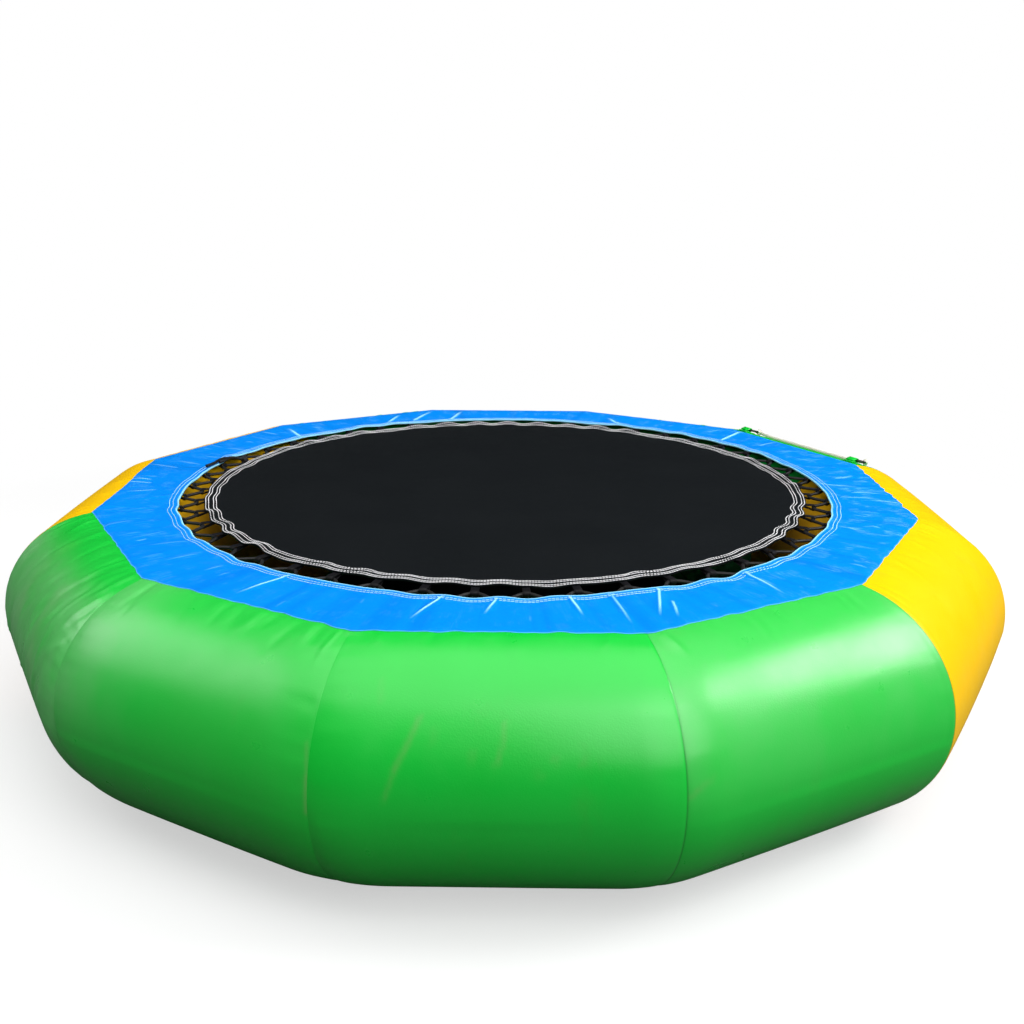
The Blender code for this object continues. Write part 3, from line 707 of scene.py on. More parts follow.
# %% Sizes of the cover
COVER_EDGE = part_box("cover")[1][0]
COVER_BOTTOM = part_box("cover")[0][2]
SHEET_THICKNESS = 0.001
OPENING_RADIUS = 0.669
HEM_WIDTH = 0.020
HEM_STEP = 0.0009
ROLL_HEIGHT, ROLL_MIDDLE, ROLL_WIDTH = 0.0013, 0.0016, 0.0018
RAYS = 144 * PANELS
LOOPS = 48
LOOP_TURN = math.tau / LOOPS
LOOSE_HEM = (0.70, 0.30)
CREASE_LIFT, CREASE_WIDTH = 0.0032, 0.0048
# Creases of the sheet: turn in degrees, start and end as shares of the way out, lean, and the strength of its
# painted highlight.
STRAIGHT_CREASES = [
    (-7.3, 0.03, 0.84, -19.0, 1.0), (-0.1, 0.03, 0.57, -17.0, 0.9), (9.1, 0.03, 0.63, 5.0, 1.0),
    (14.9, 0.03, 0.99, -4.0, 0.5), (22.3, 0.03, 0.93, -28.0, 1.0), (23.4, 0.45, 0.96, -22.0, 0.7),
    (-30.6, 0.03, 0.88, -11.0, 1.0), (36.7, 0.03, 0.90, -11.0, 0.8), (128.9, 0.15, 1.30, 18.0, 1.0),
    (-130.0, 0.03, 0.98, -24.0, 1.0), (-156.9, 0.24, 1.30, -40.0, 1.0), (-151.2, 0.23, 1.08, -39.0, 0.9),
    (-138.8, 0.03, 0.05, -52.0, 0.8), (-166.5, 0.03, 1.06, -25.0, 0.9), (153.9, 0.03, 0.85, 38.0, 0.9),
]


# %% [markdown]
# A fold is a straight line on the sheet with a bell as its section. The strong creases lie where the
# photograph shows them. Finer ones are drawn all round, longer at both sides and with more painted highlight
# there.

# %% Folds of the sheet
def edge_waves(rng, turn, first_loop, low, high):
    """A wave that is zero at each loop and has its own height in each stretch between two loops."""
    place = (turn - first_loop) / LOOP_TURN
    stretch = np.floor(place).astype(int) % LOOPS
    heights = rng.uniform(low, high, LOOPS)
    return heights[stretch] * np.sin(math.pi * (place - np.floor(place))) ** 2


def fold_table():
    """One row for each fold of the sheet: turn, start, end, lean, height, half width and painted highlight.
    """
    rng = np.random.default_rng(7)
    rows = [(*crease[:4], CREASE_LIFT, CREASE_WIDTH, crease[4]) for crease in STRAIGHT_CREASES]
    for spot in np.arange(-180.0, 180.0, 2.0):
        at = spot + rng.uniform(-0.8, 0.8)
        at_side = math.sin(math.radians(at)) ** 2
        start = rng.uniform(0.0, 0.75)
        length = rng.uniform(0.15, 0.55) * (0.5 + at_side)
        lean = rng.uniform(-12.0, 12.0) * (1.0 + at_side)
        height = rng.uniform(-0.0005, 0.0014) * (0.5 + at_side)
        # How strong this fold's painted highlight is: stronger at the sides.
        painted_glint = max(rng.uniform(-0.9, 0.75), 0.0) * (0.12 + 0.60 * at_side)
        rows.append((at, start, start + length, lean, height, rng.uniform(0.004, 0.009), painted_glint))
    return rows


FOLDS = fold_table()
SHEET_REACH = COVER_EDGE - OPENING_RADIUS


def cover_folds(radius, turn):
    """The height of all folds, and for the strongest painted highlight near each point its strength and the
    way to its fold's line.

    A fold is a straight line from the opening outwards. It leans from the ray it starts on, its section is
    a bell, and it fades in after its start and out before its end.
    """
    x, y = radius * np.sin(turn), -radius * np.cos(turn)
    height, painted_glint, beside = np.zeros_like(x), np.zeros_like(x), np.full_like(x, 1.0)
    for at_degrees, start, end, lean, lift, width, glint_strength in FOLDS:
        at = math.radians(at_degrees)
        heading = at + math.radians(lean)
        from_x, from_y = x - OPENING_RADIUS * math.sin(at), y + OPENING_RADIUS * math.cos(at)
        along = (from_x * math.sin(heading) - from_y * math.cos(heading)) / SHEET_REACH
        across = from_x * math.cos(heading) + from_y * math.sin(heading)
        fade = smooth_step(along, start, start + 0.10) * fall(along, 0.5 * (start + end), end)
        height += lift * fade * bell(across, width)
        # The painted highlight of this fold near the point.
        near = glint_strength * fade * fall(np.abs(across), 0.004, 0.008)
        beside = np.where(near > painted_glint, across, beside)
        painted_glint = np.maximum(near, painted_glint)
    return height, painted_glint, beside


# %% Edges and heights of the cover
def loose_hem(turn, extra):
    """1 all round, and more by a share of extra where the hem is loose, at the front right."""
    return 1.0 + extra * bell(turn - LOOSE_HEM[0], LOOSE_HEM[1])


def opening_edge(turn):
    """The radius of the cover's rolled edge: it is held at the loops and strays out between them."""
    waves = edge_waves(np.random.default_rng(23), turn, 0.0, -0.0015, 0.0062)
    return OPENING_RADIUS + loose_hem(turn, 0.8) * waves


def hem_drop(radius, turn):
    """The waves of the hem, which die away towards the tube."""
    wave = loose_hem(turn, 0.7) * edge_waves(np.random.default_rng(11), turn, 0.0, -0.0034, 0.0032)
    return wave * fall(radius, OPENING_RADIUS + 0.004, OPENING_RADIUS + 0.055)


def cover_weld(radius, turn):
    """1 at the outer edge, where the sheet is welded down, and 0 a finger's width inside it."""
    edge = COVER_EDGE + weld_wave(turn)
    return smooth_step(panel_out(radius, turn), edge - 0.007, edge)


def cover_under(radius, turn):
    """The height of the sheet's lower face: flat over the opening, then down over the tube's shoulder."""
    on_tube = tube_top(np.maximum(panel_out(radius, turn), TUBE_CENTRE)) - CROWN
    weld = cover_weld(radius, turn)
    settle = fall(panel_out(radius, turn), COVER_EDGE - 0.014, COVER_EDGE - 0.004)
    waves = hem_drop(radius, turn) + settle * cover_folds(radius, turn)[0]
    return COVER_BOTTOM + on_tube - 0.0004 * weld + waves


def cover_top(radius, turn):
    """The height of the upper face: the sheet's thickness, one more at the hem, and the rolled edge."""
    inset = radius - opening_edge(turn)
    hem = HEM_STEP * fall(inset, HEM_WIDTH, HEM_WIDTH + 0.002)
    rolled = ROLL_HEIGHT * bell(inset - ROLL_MIDDLE, ROLL_WIDTH)
    thickness = SHEET_THICKNESS * (1.0 - 0.6 * cover_weld(radius, turn))
    return cover_under(radius, turn) + thickness + hem + rolled


# %% Shape of the cover
# The rings of the grid, as shares of the way from the opening to the weld.
HEM_RINGS = [0.0, 0.004, 0.010, 0.018, 0.030, 0.050]
MIDDLE_RINGS = np.linspace(HEM_RINGS[-1], 0.955, 22)[1:]
WELD_RINGS = [0.970, 0.984, 0.994, 1.0]


def cover_shape():
    """Rays by rings: the upper face from the opening to the edge, then a coarser lower face back.

    With the points come the painted highlight of the nearest fold, the way to its line, and the way from each
    edge.
    """
    share = np.concatenate([HEM_RINGS, MIDDLE_RINGS, WELD_RINGS])
    hem, weld = len(HEM_RINGS), len(share) - len(WELD_RINGS)
    below = np.concatenate([np.arange(hem), np.arange(hem + 2, weld, 3), np.arange(weld, len(share))])
    turn = full_turn(RAYS)[:, None]
    inner = opening_edge(turn)
    outer = (COVER_EDGE + weld_wave(turn)) / np.cos((turn + HALF_TURN) % PANEL_TURN - HALF_TURN)
    radius = inner + (outer - inner) * share[None, :]
    turn = np.broadcast_to(turn, radius.shape)
    _, painted_glint, beside = cover_folds(radius, turn)
    beside = beside / (1.0 + 1.3 * (0.5 - 0.5 * np.cos(turn)) ** 2)
    lower = cover_under(radius, turn)

    def both(above, under):
        """The upper face's values, then the lower face's from the edge back to the opening."""
        return np.concatenate([above, under[:, below][:, ::-1]], axis=1)

    points = around(both(turn, turn), 0.0, both(radius, radius), both(cover_top(radius, turn), lower))
    numbers = {"beside": beside, "inset": radius - inner, "to_weld": outer - radius}
    numbers = {name: both(values, values) for name, values in numbers.items()}
    return points, numbers | {"painted_glint": both(painted_glint, np.zeros_like(painted_glint))}


# %% [markdown]
# The cover's material paints pale blue highlights along the sharp folds, on the rolled inner edge and on the
# fine wrinkles at the sides, and a pale line along the weld. It reads four numbers that the mesh carries: how
# strong the nearest fold's painted highlight is, how far away its line lies, and the ways from the rolled
# inner edge and from the weld.

# %% Blue material and the cover
# Pale blue for the painted highlights on folds and rims.
BLUE_GLINT = (0.34, 0.78, 1.0)
LINE_WIDTH = (0.0008, 0.0028)
ROLLED_RIM = (0.0016, 0.0040, 0.95, 0.0)
WELDED_RIM = (0.0008, 0.0022, 0.25, 0.0)
THIN_LINE = (0.010, 0.040, 0.80, 0.0)
# Noise levels where the blue gets broad painted shade, and how much of it.
FOLD_SHADE_SHARE = (0.50, 0.68, 0.0, 0.60)
BLUE_SHADE = (0.0, 0.175, 0.640)
STRAND_SCALE = (115.0, 14.0)
FOLD_SHADE_SCALE = 17.0
PATCHY_SCALE = 26.0


def fine_wrinkles(tree):
    """Noise drawn out along the rays, and its strength: most at the right, then the back, least in front."""
    away, distance = ring_place(tree)
    spread = vector_math(tree, "SCALE", {0: away, "Scale": STRAND_SCALE[0]})
    outwards = add_node(tree, "ShaderNodeCombineXYZ", {"Z": product(tree, distance, STRAND_SCALE[1])})
    place = vector_math(tree, "ADD", {0: spread, 1: outwards.outputs[0]})
    parts = add_node(tree, "ShaderNodeSeparateXYZ", {0: away})
    at_right = remap(tree, parts.outputs["X"], 0.45, 0.95, 0.03, 0.30)
    at_left = remap(tree, parts.outputs["X"], -0.95, -0.45, 0.12, 0.03)
    at_back = remap(tree, parts.outputs["Y"], 0.25, 0.80, 0.03, 0.20)
    return noise(tree, place, 1.0, 3.0, 0.6), larger(tree, larger(tree, at_left, at_right), at_back)


def creased_blue(name):
    """The coated fabric with painted highlights on folds and rolled edge, a pale weld line, painted shade
    patches and fine wrinkles.
    """
    material = coated_fabric(name, BLUE, BLUE_CLOUDY, BLUE, 0.42, 0.04)
    tree = material.node_tree
    shader = tree.nodes["Principled BSDF"]
    colour = shader.inputs["Base Color"].links[0].from_socket
    beside = arithmetic(tree, "ABSOLUTE", number_on_mesh(tree, "beside"))
    # A painted highlight along each fold's line.
    line = product(tree, number_on_mesh(tree, "painted_glint"), remap(tree, beside, *LINE_WIDTH, 1.0, 0.0))
    # A painted highlight on the rolled inner edge, and a pale line along the weld.
    rolled = remap(tree, number_on_mesh(tree, "inset"), *ROLLED_RIM)
    welded = remap(tree, number_on_mesh(tree, "to_weld"), *WELDED_RIM)
    wrinkles, at_side = fine_wrinkles(tree)
    level_line = arithmetic(tree, "ABSOLUTE", arithmetic(tree, "SUBTRACT", wrinkles, 0.5))
    thin = remap(tree, level_line, *THIN_LINE)
    patchy = remap(tree, noise(tree, object_place(tree), PATCHY_SCALE, 2.0), 0.50, 0.60, 0.0, 1.0)
    # Thin painted highlights on the fine wrinkles, mostly at the sides.
    strands = product(tree, product(tree, thin, patchy), at_side)
    painted_highlights = larger(tree, larger(tree, line, larger(tree, rolled, welded)), strands)
    # Broad patches of painted shade across the sheet.
    fold_shade = noise(tree, ring_place(tree)[0], FOLD_SHADE_SCALE, 3.0, 0.5)
    colour = blend_colours(tree, remap(tree, fold_shade, *FOLD_SHADE_SHARE), colour, BLUE_SHADE)
    paint(tree, shader, blend_colours(tree, painted_highlights, colour, BLUE_GLINT))
    set_bump(tree, shader, product(tree, wrinkles, at_side), 0.0016, 0.8)
    return material


# %% Make the cover
blue_pvc = creased_blue("blue_pvc_look")
points, numbers = cover_shape()
faces = grid_faces(*points.shape[:2], True, True)
cover = stands_for(new_piece("cover_sheet", points, faces, blue_pvc), "ring", "cover")
set_numbers(cover, numbers)
print("cover:", len(faces), "faces")

# %% [markdown]
# The mat
#
# The mat is a disc of black woven plastic tape with a doubled hem. The loops hold its edge still, and
# between them the hem lifts or drops a little, which is what makes the rows of stitches wave.

# %% Sizes of the mat
MAT_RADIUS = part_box("mat_fabric")[1][0]
MAT_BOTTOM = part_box("mat_fabric")[0][2]
MAT_HEM = 0.026
MAT_RAYS = 16 * LOOPS
MAT_THICKNESS = 0.0012
MAT_HEM_STEP = 0.0008
MAT_EDGE_GAP = 0.0005
HEM_LIFT_REACH = 0.050
# The rings of the grid: plain ones, and then those at these distances from the rim.
MAT_PLAIN_RINGS = np.linspace(0.03, MAT_RADIUS - 0.06, 9)
MAT_HEM_RINGS = [0.048, 0.038, 0.030, 0.0276, 0.0262, 0.0235, 0.0205, 0.0175]
MAT_HEM_RINGS += [0.0145, 0.0115, 0.0085, 0.0055, 0.0030, 0.0012, 0.0]


def mat_waves(radius, turn):
    """The lift and drop of the hem between two loops, fading towards the middle."""
    rng = np.random.default_rng(31)
    far = 0.5 - 0.5 * np.cos(turn)
    lifted = edge_waves(rng, turn, LOOP_TURN / 2.0, 0.0010, 0.0085)
    mixed = edge_waves(rng, turn, LOOP_TURN / 2.0, -0.0078, 0.0074)
    return (lifted * far + mixed * (1.0 - far)) * smooth_step(radius, MAT_RADIUS - HEM_LIFT_REACH, MAT_RADIUS)


def mat_under(radius, turn):
    """The height of the mat's lower face: flat, with the hem's waves."""
    return MAT_BOTTOM + mat_waves(radius, turn)


def mat_top(radius, turn):
    """The height of the mat's upper face: flat, a step at the hem, and the hem's waves."""
    hem = MAT_HEM_STEP * smooth_step(radius, MAT_RADIUS - MAT_HEM - 0.0015, MAT_RADIUS - MAT_HEM)
    return mat_under(radius, turn) + MAT_THICKNESS + hem


def mat_edge(turn):
    """The radius of the mat's rim: held out at the loops, and drawn in by its own amount between them."""
    rng = np.random.default_rng(37)
    loose = 0.6 + 1.1 * (0.5 + 0.5 * np.cos(turn)) ** 2
    return MAT_RADIUS - MAT_EDGE_GAP + loose * edge_waves(rng, turn, LOOP_TURN / 2.0, -0.0078, 0.0006)


# %% Shape of the mat
def mat_shape():
    """Rays by rings for the upper face and the lower one, closed at the middle with a fan."""
    rings = np.concatenate([MAT_PLAIN_RINGS, MAT_RADIUS - np.array(MAT_HEM_RINGS)])
    turn = full_turn(MAT_RAYS)[:, None]
    stretch = smooth_step(rings, MAT_RADIUS - HEM_LIFT_REACH, MAT_RADIUS)[None, :]
    radius = rings[None, :] + (mat_edge(turn) - MAT_RADIUS) * stretch
    turn = np.broadcast_to(turn, radius.shape)
    wall = np.concatenate([radius, radius[:, ::-1]], axis=1)
    height = np.concatenate([mat_top(radius, turn), mat_under(radius, turn)[:, ::-1]], axis=1)
    points = around(np.concatenate([turn, turn], axis=1), 0.0, wall, height)
    faces = grid_faces(*points.shape[:2], True, False).tolist() + closing_fans(*points.shape[:2])
    centres = [[0.0, 0.0, MAT_BOTTOM + MAT_THICKNESS], [0.0, 0.0, MAT_BOTTOM]]
    return np.concatenate([points.reshape(-1, 3), centres]), faces


# %% [markdown]
# The weave of the mat is two sets of flat tapes that cross at right angles. Two sine waves on the object's
# own x and y give it, one for each set, and their product raises the tapes that lie on top.

# %% Mat material and mat
TAPE_PITCH = 0.0030
DUST_SCALE = 5.0
MAT_TONES = ((0.0063, 0.0077, 0.0090), (0.0083, 0.0100, 0.0114))


def woven_mat(name):
    """Black tapes in a plain weave: waves along x and y, with a faint change of tone."""
    material, tree, shader = new_material(name, MAT_TONES[1], 0.55, specular=0.04)
    place = object_place(tree)
    parts = add_node(tree, "ShaderNodeSeparateXYZ", {0: place})
    waves = []
    for axis in ("X", "Y"):
        waves.append(arithmetic(tree, "SINE", product(tree, parts.outputs[axis], math.tau / TAPE_PITCH)))
    set_bump(tree, shader, product(tree, *waves), 0.0003, 0.5)
    dust = noise(tree, place, DUST_SCALE, 5.0, 0.6)
    paint(tree, shader, blend_colours(tree, dust, *MAT_TONES), remap(tree, dust, 0.3, 0.7, 0.48, 0.62))
    return material


mat_weave = woven_mat("mat_weave_look")
points, faces = mat_shape()
mat = stands_for(new_piece("mat_sheet", points, faces, mat_weave), "mat", "mat_fabric")
print("mat:", len(faces), "faces")

# %% [markdown]
# Stitching
#
# A row of stitches is a run of short raised threads. Each one is a small capsule along its row: a ring
# of six points at each of four stations, narrow at both ends. One stitch is worked out and then
# repeated as an array, so a row of hundreds is still one piece.

# %% Stitch rows
STITCH_STATIONS = np.array([-0.5, -0.32, 0.32, 0.5])
STITCH_SWELL = np.array([0.35, 1.0, 1.0, 0.35])
STITCH_SIDES = 6
STITCH_SHARE = 0.92
STITCH_HEIGHT = 0.0011
STITCH_LIFT = 0.0002


def stitch_row(turns, out, up, length, width, height):
    """Points of one capsule per turn, at distance out and height up, lying along the row."""
    station = STITCH_STATIONS * length
    spin = full_turn(STITCH_SIDES)
    side = station[None, :, None] + np.zeros((len(turns), 1, STITCH_SIDES))
    sway = STITCH_SWELL[None, :, None] * np.cos(spin)[None, None, :] * width / 2.0
    lift = STITCH_SWELL[None, :, None] * np.sin(spin)[None, None, :] * height / 2.0
    turn = turns[:, None, None] + side / out[:, None, None]
    return around(turn, 0.0, out[:, None, None] + sway, up[:, None, None] + lift)


def capsule_faces(count):
    """Faces of all capsules: the bands between the stations of each one, and then its two end caps."""
    size = len(STITCH_STATIONS) * STITCH_SIDES
    bands = grid_faces(len(STITCH_STATIONS), STITCH_SIDES, False, True)
    caps = np.stack([np.arange(STITCH_SIDES)[::-1], np.arange(size - STITCH_SIDES, size)])
    shift = size * np.arange(count)[:, None, None]
    return [face for part in (bands, caps) for face in (part + shift).reshape(-1, part.shape[1]).tolist()]


def make_stitches(name, rows, pitch, width, top, material, body):
    """Rows of stitches at the given radius functions, on a surface whose height top gives."""
    blocks = []
    for radius_of in rows:
        count = int(math.tau * float(np.mean(radius_of(np.zeros(1)))) / pitch)
        turns = full_turn(count)
        out = radius_of(turns)
        up = top(out, turns) + STITCH_LIFT
        blocks.append(stitch_row(turns, out, up, pitch * STITCH_SHARE, width, STITCH_HEIGHT))
    points = np.concatenate(blocks)
    piece = new_piece(name, points, capsule_faces(len(points)), material)
    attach(piece, body)
    print(name, len(points), "stitches")


# %% Thread
FIBRE_SCALE = 900.0


def thread(name, colour):
    """Twisted thread: fine noise in its colour and in its bump, for the fibres."""
    material, tree, shader = new_material(name, colour, 0.6)
    twist = noise(tree, object_place(tree), FIBRE_SCALE, 2.0)
    set_bump(tree, shader, twist, 0.0002, 0.5)
    paint(tree, shader, blend_colours(tree, twist, toned(colour, 0.8), colour))
    return material


white_thread = thread("white_thread", (0.95, 0.95, 0.97))
pale_thread = thread("pale_blue_thread", (0.50, 0.86, 1.0))


# %% Make the stitching
def row_beside(edge_of, inset):
    """The radius of a row that runs beside an edge, further out by inset."""
    return lambda turn: edge_of(turn) + inset


mat_rows = [row_beside(mat_edge, -inset) for inset in (0.0030, 0.0085, 0.0180, 0.0235)]
make_stitches("mat_stitching", mat_rows, 0.0052, 0.0016, mat_top, white_thread, "mat")
cover_rows = [row_beside(opening_edge, inset) for inset in (0.0110, 0.0180)]
make_stitches("cover_stitching", cover_rows, 0.0064, 0.0013, cover_top, pale_thread, "ring")

# %% [markdown]
# Fittings sit on the tube's wall. Each one is drawn flat in its own frame, with X along the panel, Y up
# the wall and Z straight out of it, and a matrix then carries it to its turn round the ring and its rise
# round the tube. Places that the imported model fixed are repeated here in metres.

# %% Frames on the tube's wall
FIT_GAP = 0.0003


def tube_frame(turn_degrees, rise_degrees):
    """A 4 by 4 matrix: the wall's along, up and outward directions, and the spot itself."""
    turn, rise = math.radians(turn_degrees), math.radians(rise_degrees)
    along = np.array([math.cos(turn), math.sin(turn), 0.0])
    outward = np.array([math.sin(turn), -math.cos(turn), 0.0])
    up = np.array([0.0, 0.0, 1.0])
    wall_up = -outward * math.sin(rise) + up * math.cos(rise)
    wall_out = outward * math.cos(rise) + up * math.sin(rise)
    frame = np.eye(4)
    frame[:3, 0], frame[:3, 1], frame[:3, 2] = along, wall_up, wall_out
    frame[:3, 3] = outward * TUBE_CENTRE + up * TUBE_RADIUS + wall_out * TUBE_RADIUS
    return frame


def shifted(frame, x, y, z):
    """The frame moved by x, y and z along its own axes."""
    moved = frame.copy()
    moved[:3, 3] = frame[:3, :3] @ np.array([x, y, z]) + frame[:3, 3]
    return moved


def turned_frame(frame, first, second):
    """The frame with its X and Y set to two directions, given in the frame's own axes."""
    columns = np.stack([first, second, np.cross(first, second)], axis=-1)
    changed = frame.copy()
    changed[:3, :3] = frame[:3, :3] @ columns
    return changed


def carried(points, frame):
    """Points drawn in a frame's own axes, brought to where the frame is."""
    return np.asarray(points) @ frame[:3, :3].T + frame[:3, 3]


# %% [markdown]
# Cords, rings and loops are all one shape: a section carried along a path. The section stays square to
# the path, and a fixed direction that the path never follows keeps it from spinning. A cord has a
# round section, a rope one with three lobes that turn as it goes, and webbing one that is wide and thin.

# %% Sections carried along a path
def path_directions(path, reference, closed):
    """Unit vectors along the path, to its side, and square to both."""
    ahead, behind = np.roll(path, -1, axis=0), np.roll(path, 1, axis=0)
    if not closed:
        ahead[-1], behind[0] = path[-1], path[0]
    forward = ahead - behind
    forward /= np.linalg.norm(forward, axis=1, keepdims=True)
    side = np.cross(forward, reference)
    side /= np.linalg.norm(side, axis=1, keepdims=True)
    return forward, side, np.cross(side, forward)


def sweep(path, section, reference, closed=False):
    """A row of points for each point of the path. section holds (side, lift) pairs, or one set a row."""
    path = np.asarray(path, float)
    section = np.broadcast_to(section, (len(path), *np.asarray(section).shape[-2:]))
    _, side, lift = path_directions(path, np.asarray(reference, float), closed)
    spread = section[..., :1] * side[:, None, :] + section[..., 1:] * lift[:, None, :]
    return path[:, None, :] + spread


def sweep_faces(rows, columns, closed, first=0):
    """The sides of a swept shape, and its two end caps where it is open."""
    faces = (grid_faces(rows, columns, closed, True) + first).tolist()
    if not closed:
        last = first + (rows - 1) * columns
        faces += [list(range(first, first + columns))[::-1], list(range(last, last + columns))]
    return faces


# %% Round sections, flat paths and joined sweeps
def round_section(radius, sides):
    """A circle of points."""
    angle = full_turn(sides)
    return radius * np.stack([np.cos(angle), np.sin(angle)], axis=-1)


def flat_path(pairs):
    """A path drawn with X and Y only, as points with no height."""
    return np.concatenate([pairs, np.zeros((len(pairs), 1))], axis=1)


def path_length(path):
    """The sum of the distances from each point to the next."""
    return float(np.linalg.norm(np.diff(path, axis=0), axis=1).sum())


def join(blocks, closed):
    """Several swept shapes of equal size as one list of points and faces."""
    rows, columns = blocks[0].shape[:2]
    size = rows * columns
    faces = [face for i in range(len(blocks)) for face in sweep_faces(rows, columns, closed, i * size)]
    return np.concatenate([block.reshape(-1, 3) for block in blocks]), faces


def soften(path, closed, rounds):
    """Cut each corner at a quarter and three quarters of its sides, several times over."""
    for _ in range(rounds):
        ahead = np.roll(path, -1, axis=0) if closed else path[1:]
        behind = path if closed else path[:-1]
        cut = np.stack([0.75 * behind + 0.25 * ahead, 0.25 * behind + 0.75 * ahead], axis=1)
        cut = cut.reshape(-1, path.shape[1])
        path = cut if closed else np.concatenate([path[:1], cut, path[-1:]])
    return path


# %% [markdown]
# Webbing loops
#
# A loop is a strap folded round a cord: a flat leg that is sewn under the hem, a nose that goes round the
# cord, and a second leg that comes back to the stitches. Its section is a flat bar with rounded
# edges, so the sweep of one path makes the whole loop.

# %% Webbing material
RIB_PITCH = 0.0016
THREAD_SCALE = 700.0
SHEEN_TINT = (0.72, 0.68, 0.86, 1.0)


def webbing(name, colour, shine):
    """Woven strap: fine ribs on the object's own axes, and a soft shine on the threads."""
    material, tree, shader = new_material(name, colour, 0.5, specular=0.2)
    place = object_place(tree)
    fine = noise(tree, place, THREAD_SCALE, 2.0)
    ribs = add_node(tree, "ShaderNodeTexWave", {"Vector": place, "Scale": 1.0 / RIB_PITCH, "Distortion": 1.5})
    set_bump(tree, shader, arithmetic(tree, "ADD", ribs.outputs["Fac"], fine), 0.0003, 0.6)
    paint(tree, shader, blend_colours(tree, fine, toned(colour, 0.6), toned(colour, 1.5)))
    shader.inputs["Sheen Weight"].default_value = shine
    shader.inputs["Sheen Roughness"].default_value = 0.4
    shader.inputs["Sheen Tint"].default_value = SHEEN_TINT
    return material


black_webbing = webbing("black_webbing_look", (0.0030, 0.0030, 0.0042), 0.02)

# %% Loop shape
LOOP_WIDTH = 0.013
LOOP_BORE = 0.0043
WEBBING_THICKNESS = 0.0012
CORD_HEIGHT = 0.4119
COVER_LOOP_OUT = 0.6655
MAT_LOOP_OUT = 0.6365
COVER_LOOP_LENGTH = 0.018
MAT_LOOP_LENGTH = 0.030


def loop_path(bore, thickness, length):
    """The strap's centre line: X points to the nose, and the flat leg lies at the highest Y."""
    reach = bore + thickness / 2.0
    nose = np.radians(np.linspace(90.0, -128.0, 12))
    bend = reach * np.stack([np.cos(nose), np.sin(nose)], axis=-1)
    flat_leg = np.stack([np.linspace(-length, -0.15 * length, 4), np.full(4, reach)], axis=-1)
    tail = np.array([[-length + 2.2 * thickness + 0.3 * bore, reach - 1.15 * thickness]])
    return_leg = bend[-1] + (tail - bend[-1]) * np.array([[0.35], [0.75], [1.0]])
    return soften(np.concatenate([flat_leg, bend, return_leg]), False, 1)


def flat_section(width, thickness):
    """A bar that is wide along the second axis and thin along the first, with its corners cut."""
    corner = 0.3 * thickness
    half_wide, half_thin = width / 2.0, thickness / 2.0
    quarter = [(half_thin, half_wide - corner), (half_thin - corner, half_wide)]
    right = quarter + [(-thin, wide) for thin, wide in quarter[::-1]]
    return np.array(right + [(-thin, -wide) for thin, wide in right])


def strap_loop(frame, bore, thickness, length, width):
    """One loop in its frame: X to the nose and Y to the flat leg."""
    path = flat_path(loop_path(bore, thickness, length))
    return carried(sweep(path, flat_section(width, thickness), (0.0, 0.0, 1.0)), frame)


# %% Loops of a hem
def hem_loop(rng, turn, out, to_middle, length):
    """A loop of a hem with a small lean of its own, its nose to the middle or away from it."""
    lean = turn + rng.normal(0.0, 0.02)
    away = np.array([math.sin(lean), -math.cos(lean), 0.0])
    nose = -away if to_middle else away
    frame = np.eye(4)
    frame[:3, 0], frame[:3, 1] = nose, (0.0, 0.0, 1.0)
    frame[:3, 2] = np.cross(nose, (0.0, 0.0, 1.0))
    frame[:3, 3] = (out * math.sin(turn), -out * math.cos(turn), CORD_HEIGHT)
    return strap_loop(frame, LOOP_BORE, WEBBING_THICKNESS, length, LOOP_WIDTH * rng.uniform(0.96, 1.06))


# %% Tape of a hem
TAPE_RAYS = 8 * LOOPS
TAPE_THICKNESS = 0.001


def hem_tape(edge_of, near, far, under):
    """A flat tape below a hem: a closed ring of flat sections that follow the hem's edge and its height."""
    turn = full_turn(TAPE_RAYS)[:, None]
    out = edge_of(turn) + np.array([[near, far, far, near]])
    low = np.array([[0.0, 0.0, TAPE_THICKNESS, TAPE_THICKNESS]])
    return around(turn, 0.0, out, under(out, turn) - FIT_GAP - low)


# %% Loops of the cover
rng = np.random.default_rng(41)
turns = [LOOP_TURN * i for i in range(LOOPS)]
loops = [hem_loop(rng, turn, COVER_LOOP_OUT, True, COVER_LOOP_LENGTH) for turn in turns]
points, faces = join(loops, False)
tape = hem_tape(opening_edge, 0.001, 0.019, cover_under)
faces += sweep_faces(*tape.shape[:2], True, len(points))
cover_loops = new_piece("cover_loops", np.concatenate([points, tape.reshape(-1, 3)]), faces, black_webbing)
stands_for(cover_loops, "ring", "cover_loop_band")
print("cover loops:", len(loops))

# %% [markdown]
# The mat's loops and the lacing span the gap between the ring and the mat. On the real thing, when the mat
# sinks, their outer ends stay with the ring and their inner ends go down. Here the circle is cut into short
# arcs, one piece each, and the ends of each arc's middle line are worked out but not used.

# %% Arcs between the ring and the mat
ARCS = 24
ARC_TURN = math.tau / ARCS
STRETCH_FROM = 0.6625
STRETCH_TO = 0.6290


def stretch_with_mat(piece, turn, *nodes, slot):
    """Works out where the piece would meet the ring and the mat, but uses neither: bakes the piece's place
    into its mesh and hides the nodes.
    """
    ends = [around(np.array(turn), 0.0, radius, CORD_HEIGHT) for radius in (STRETCH_FROM, STRETCH_TO)]
    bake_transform(piece)
    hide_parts(*nodes)


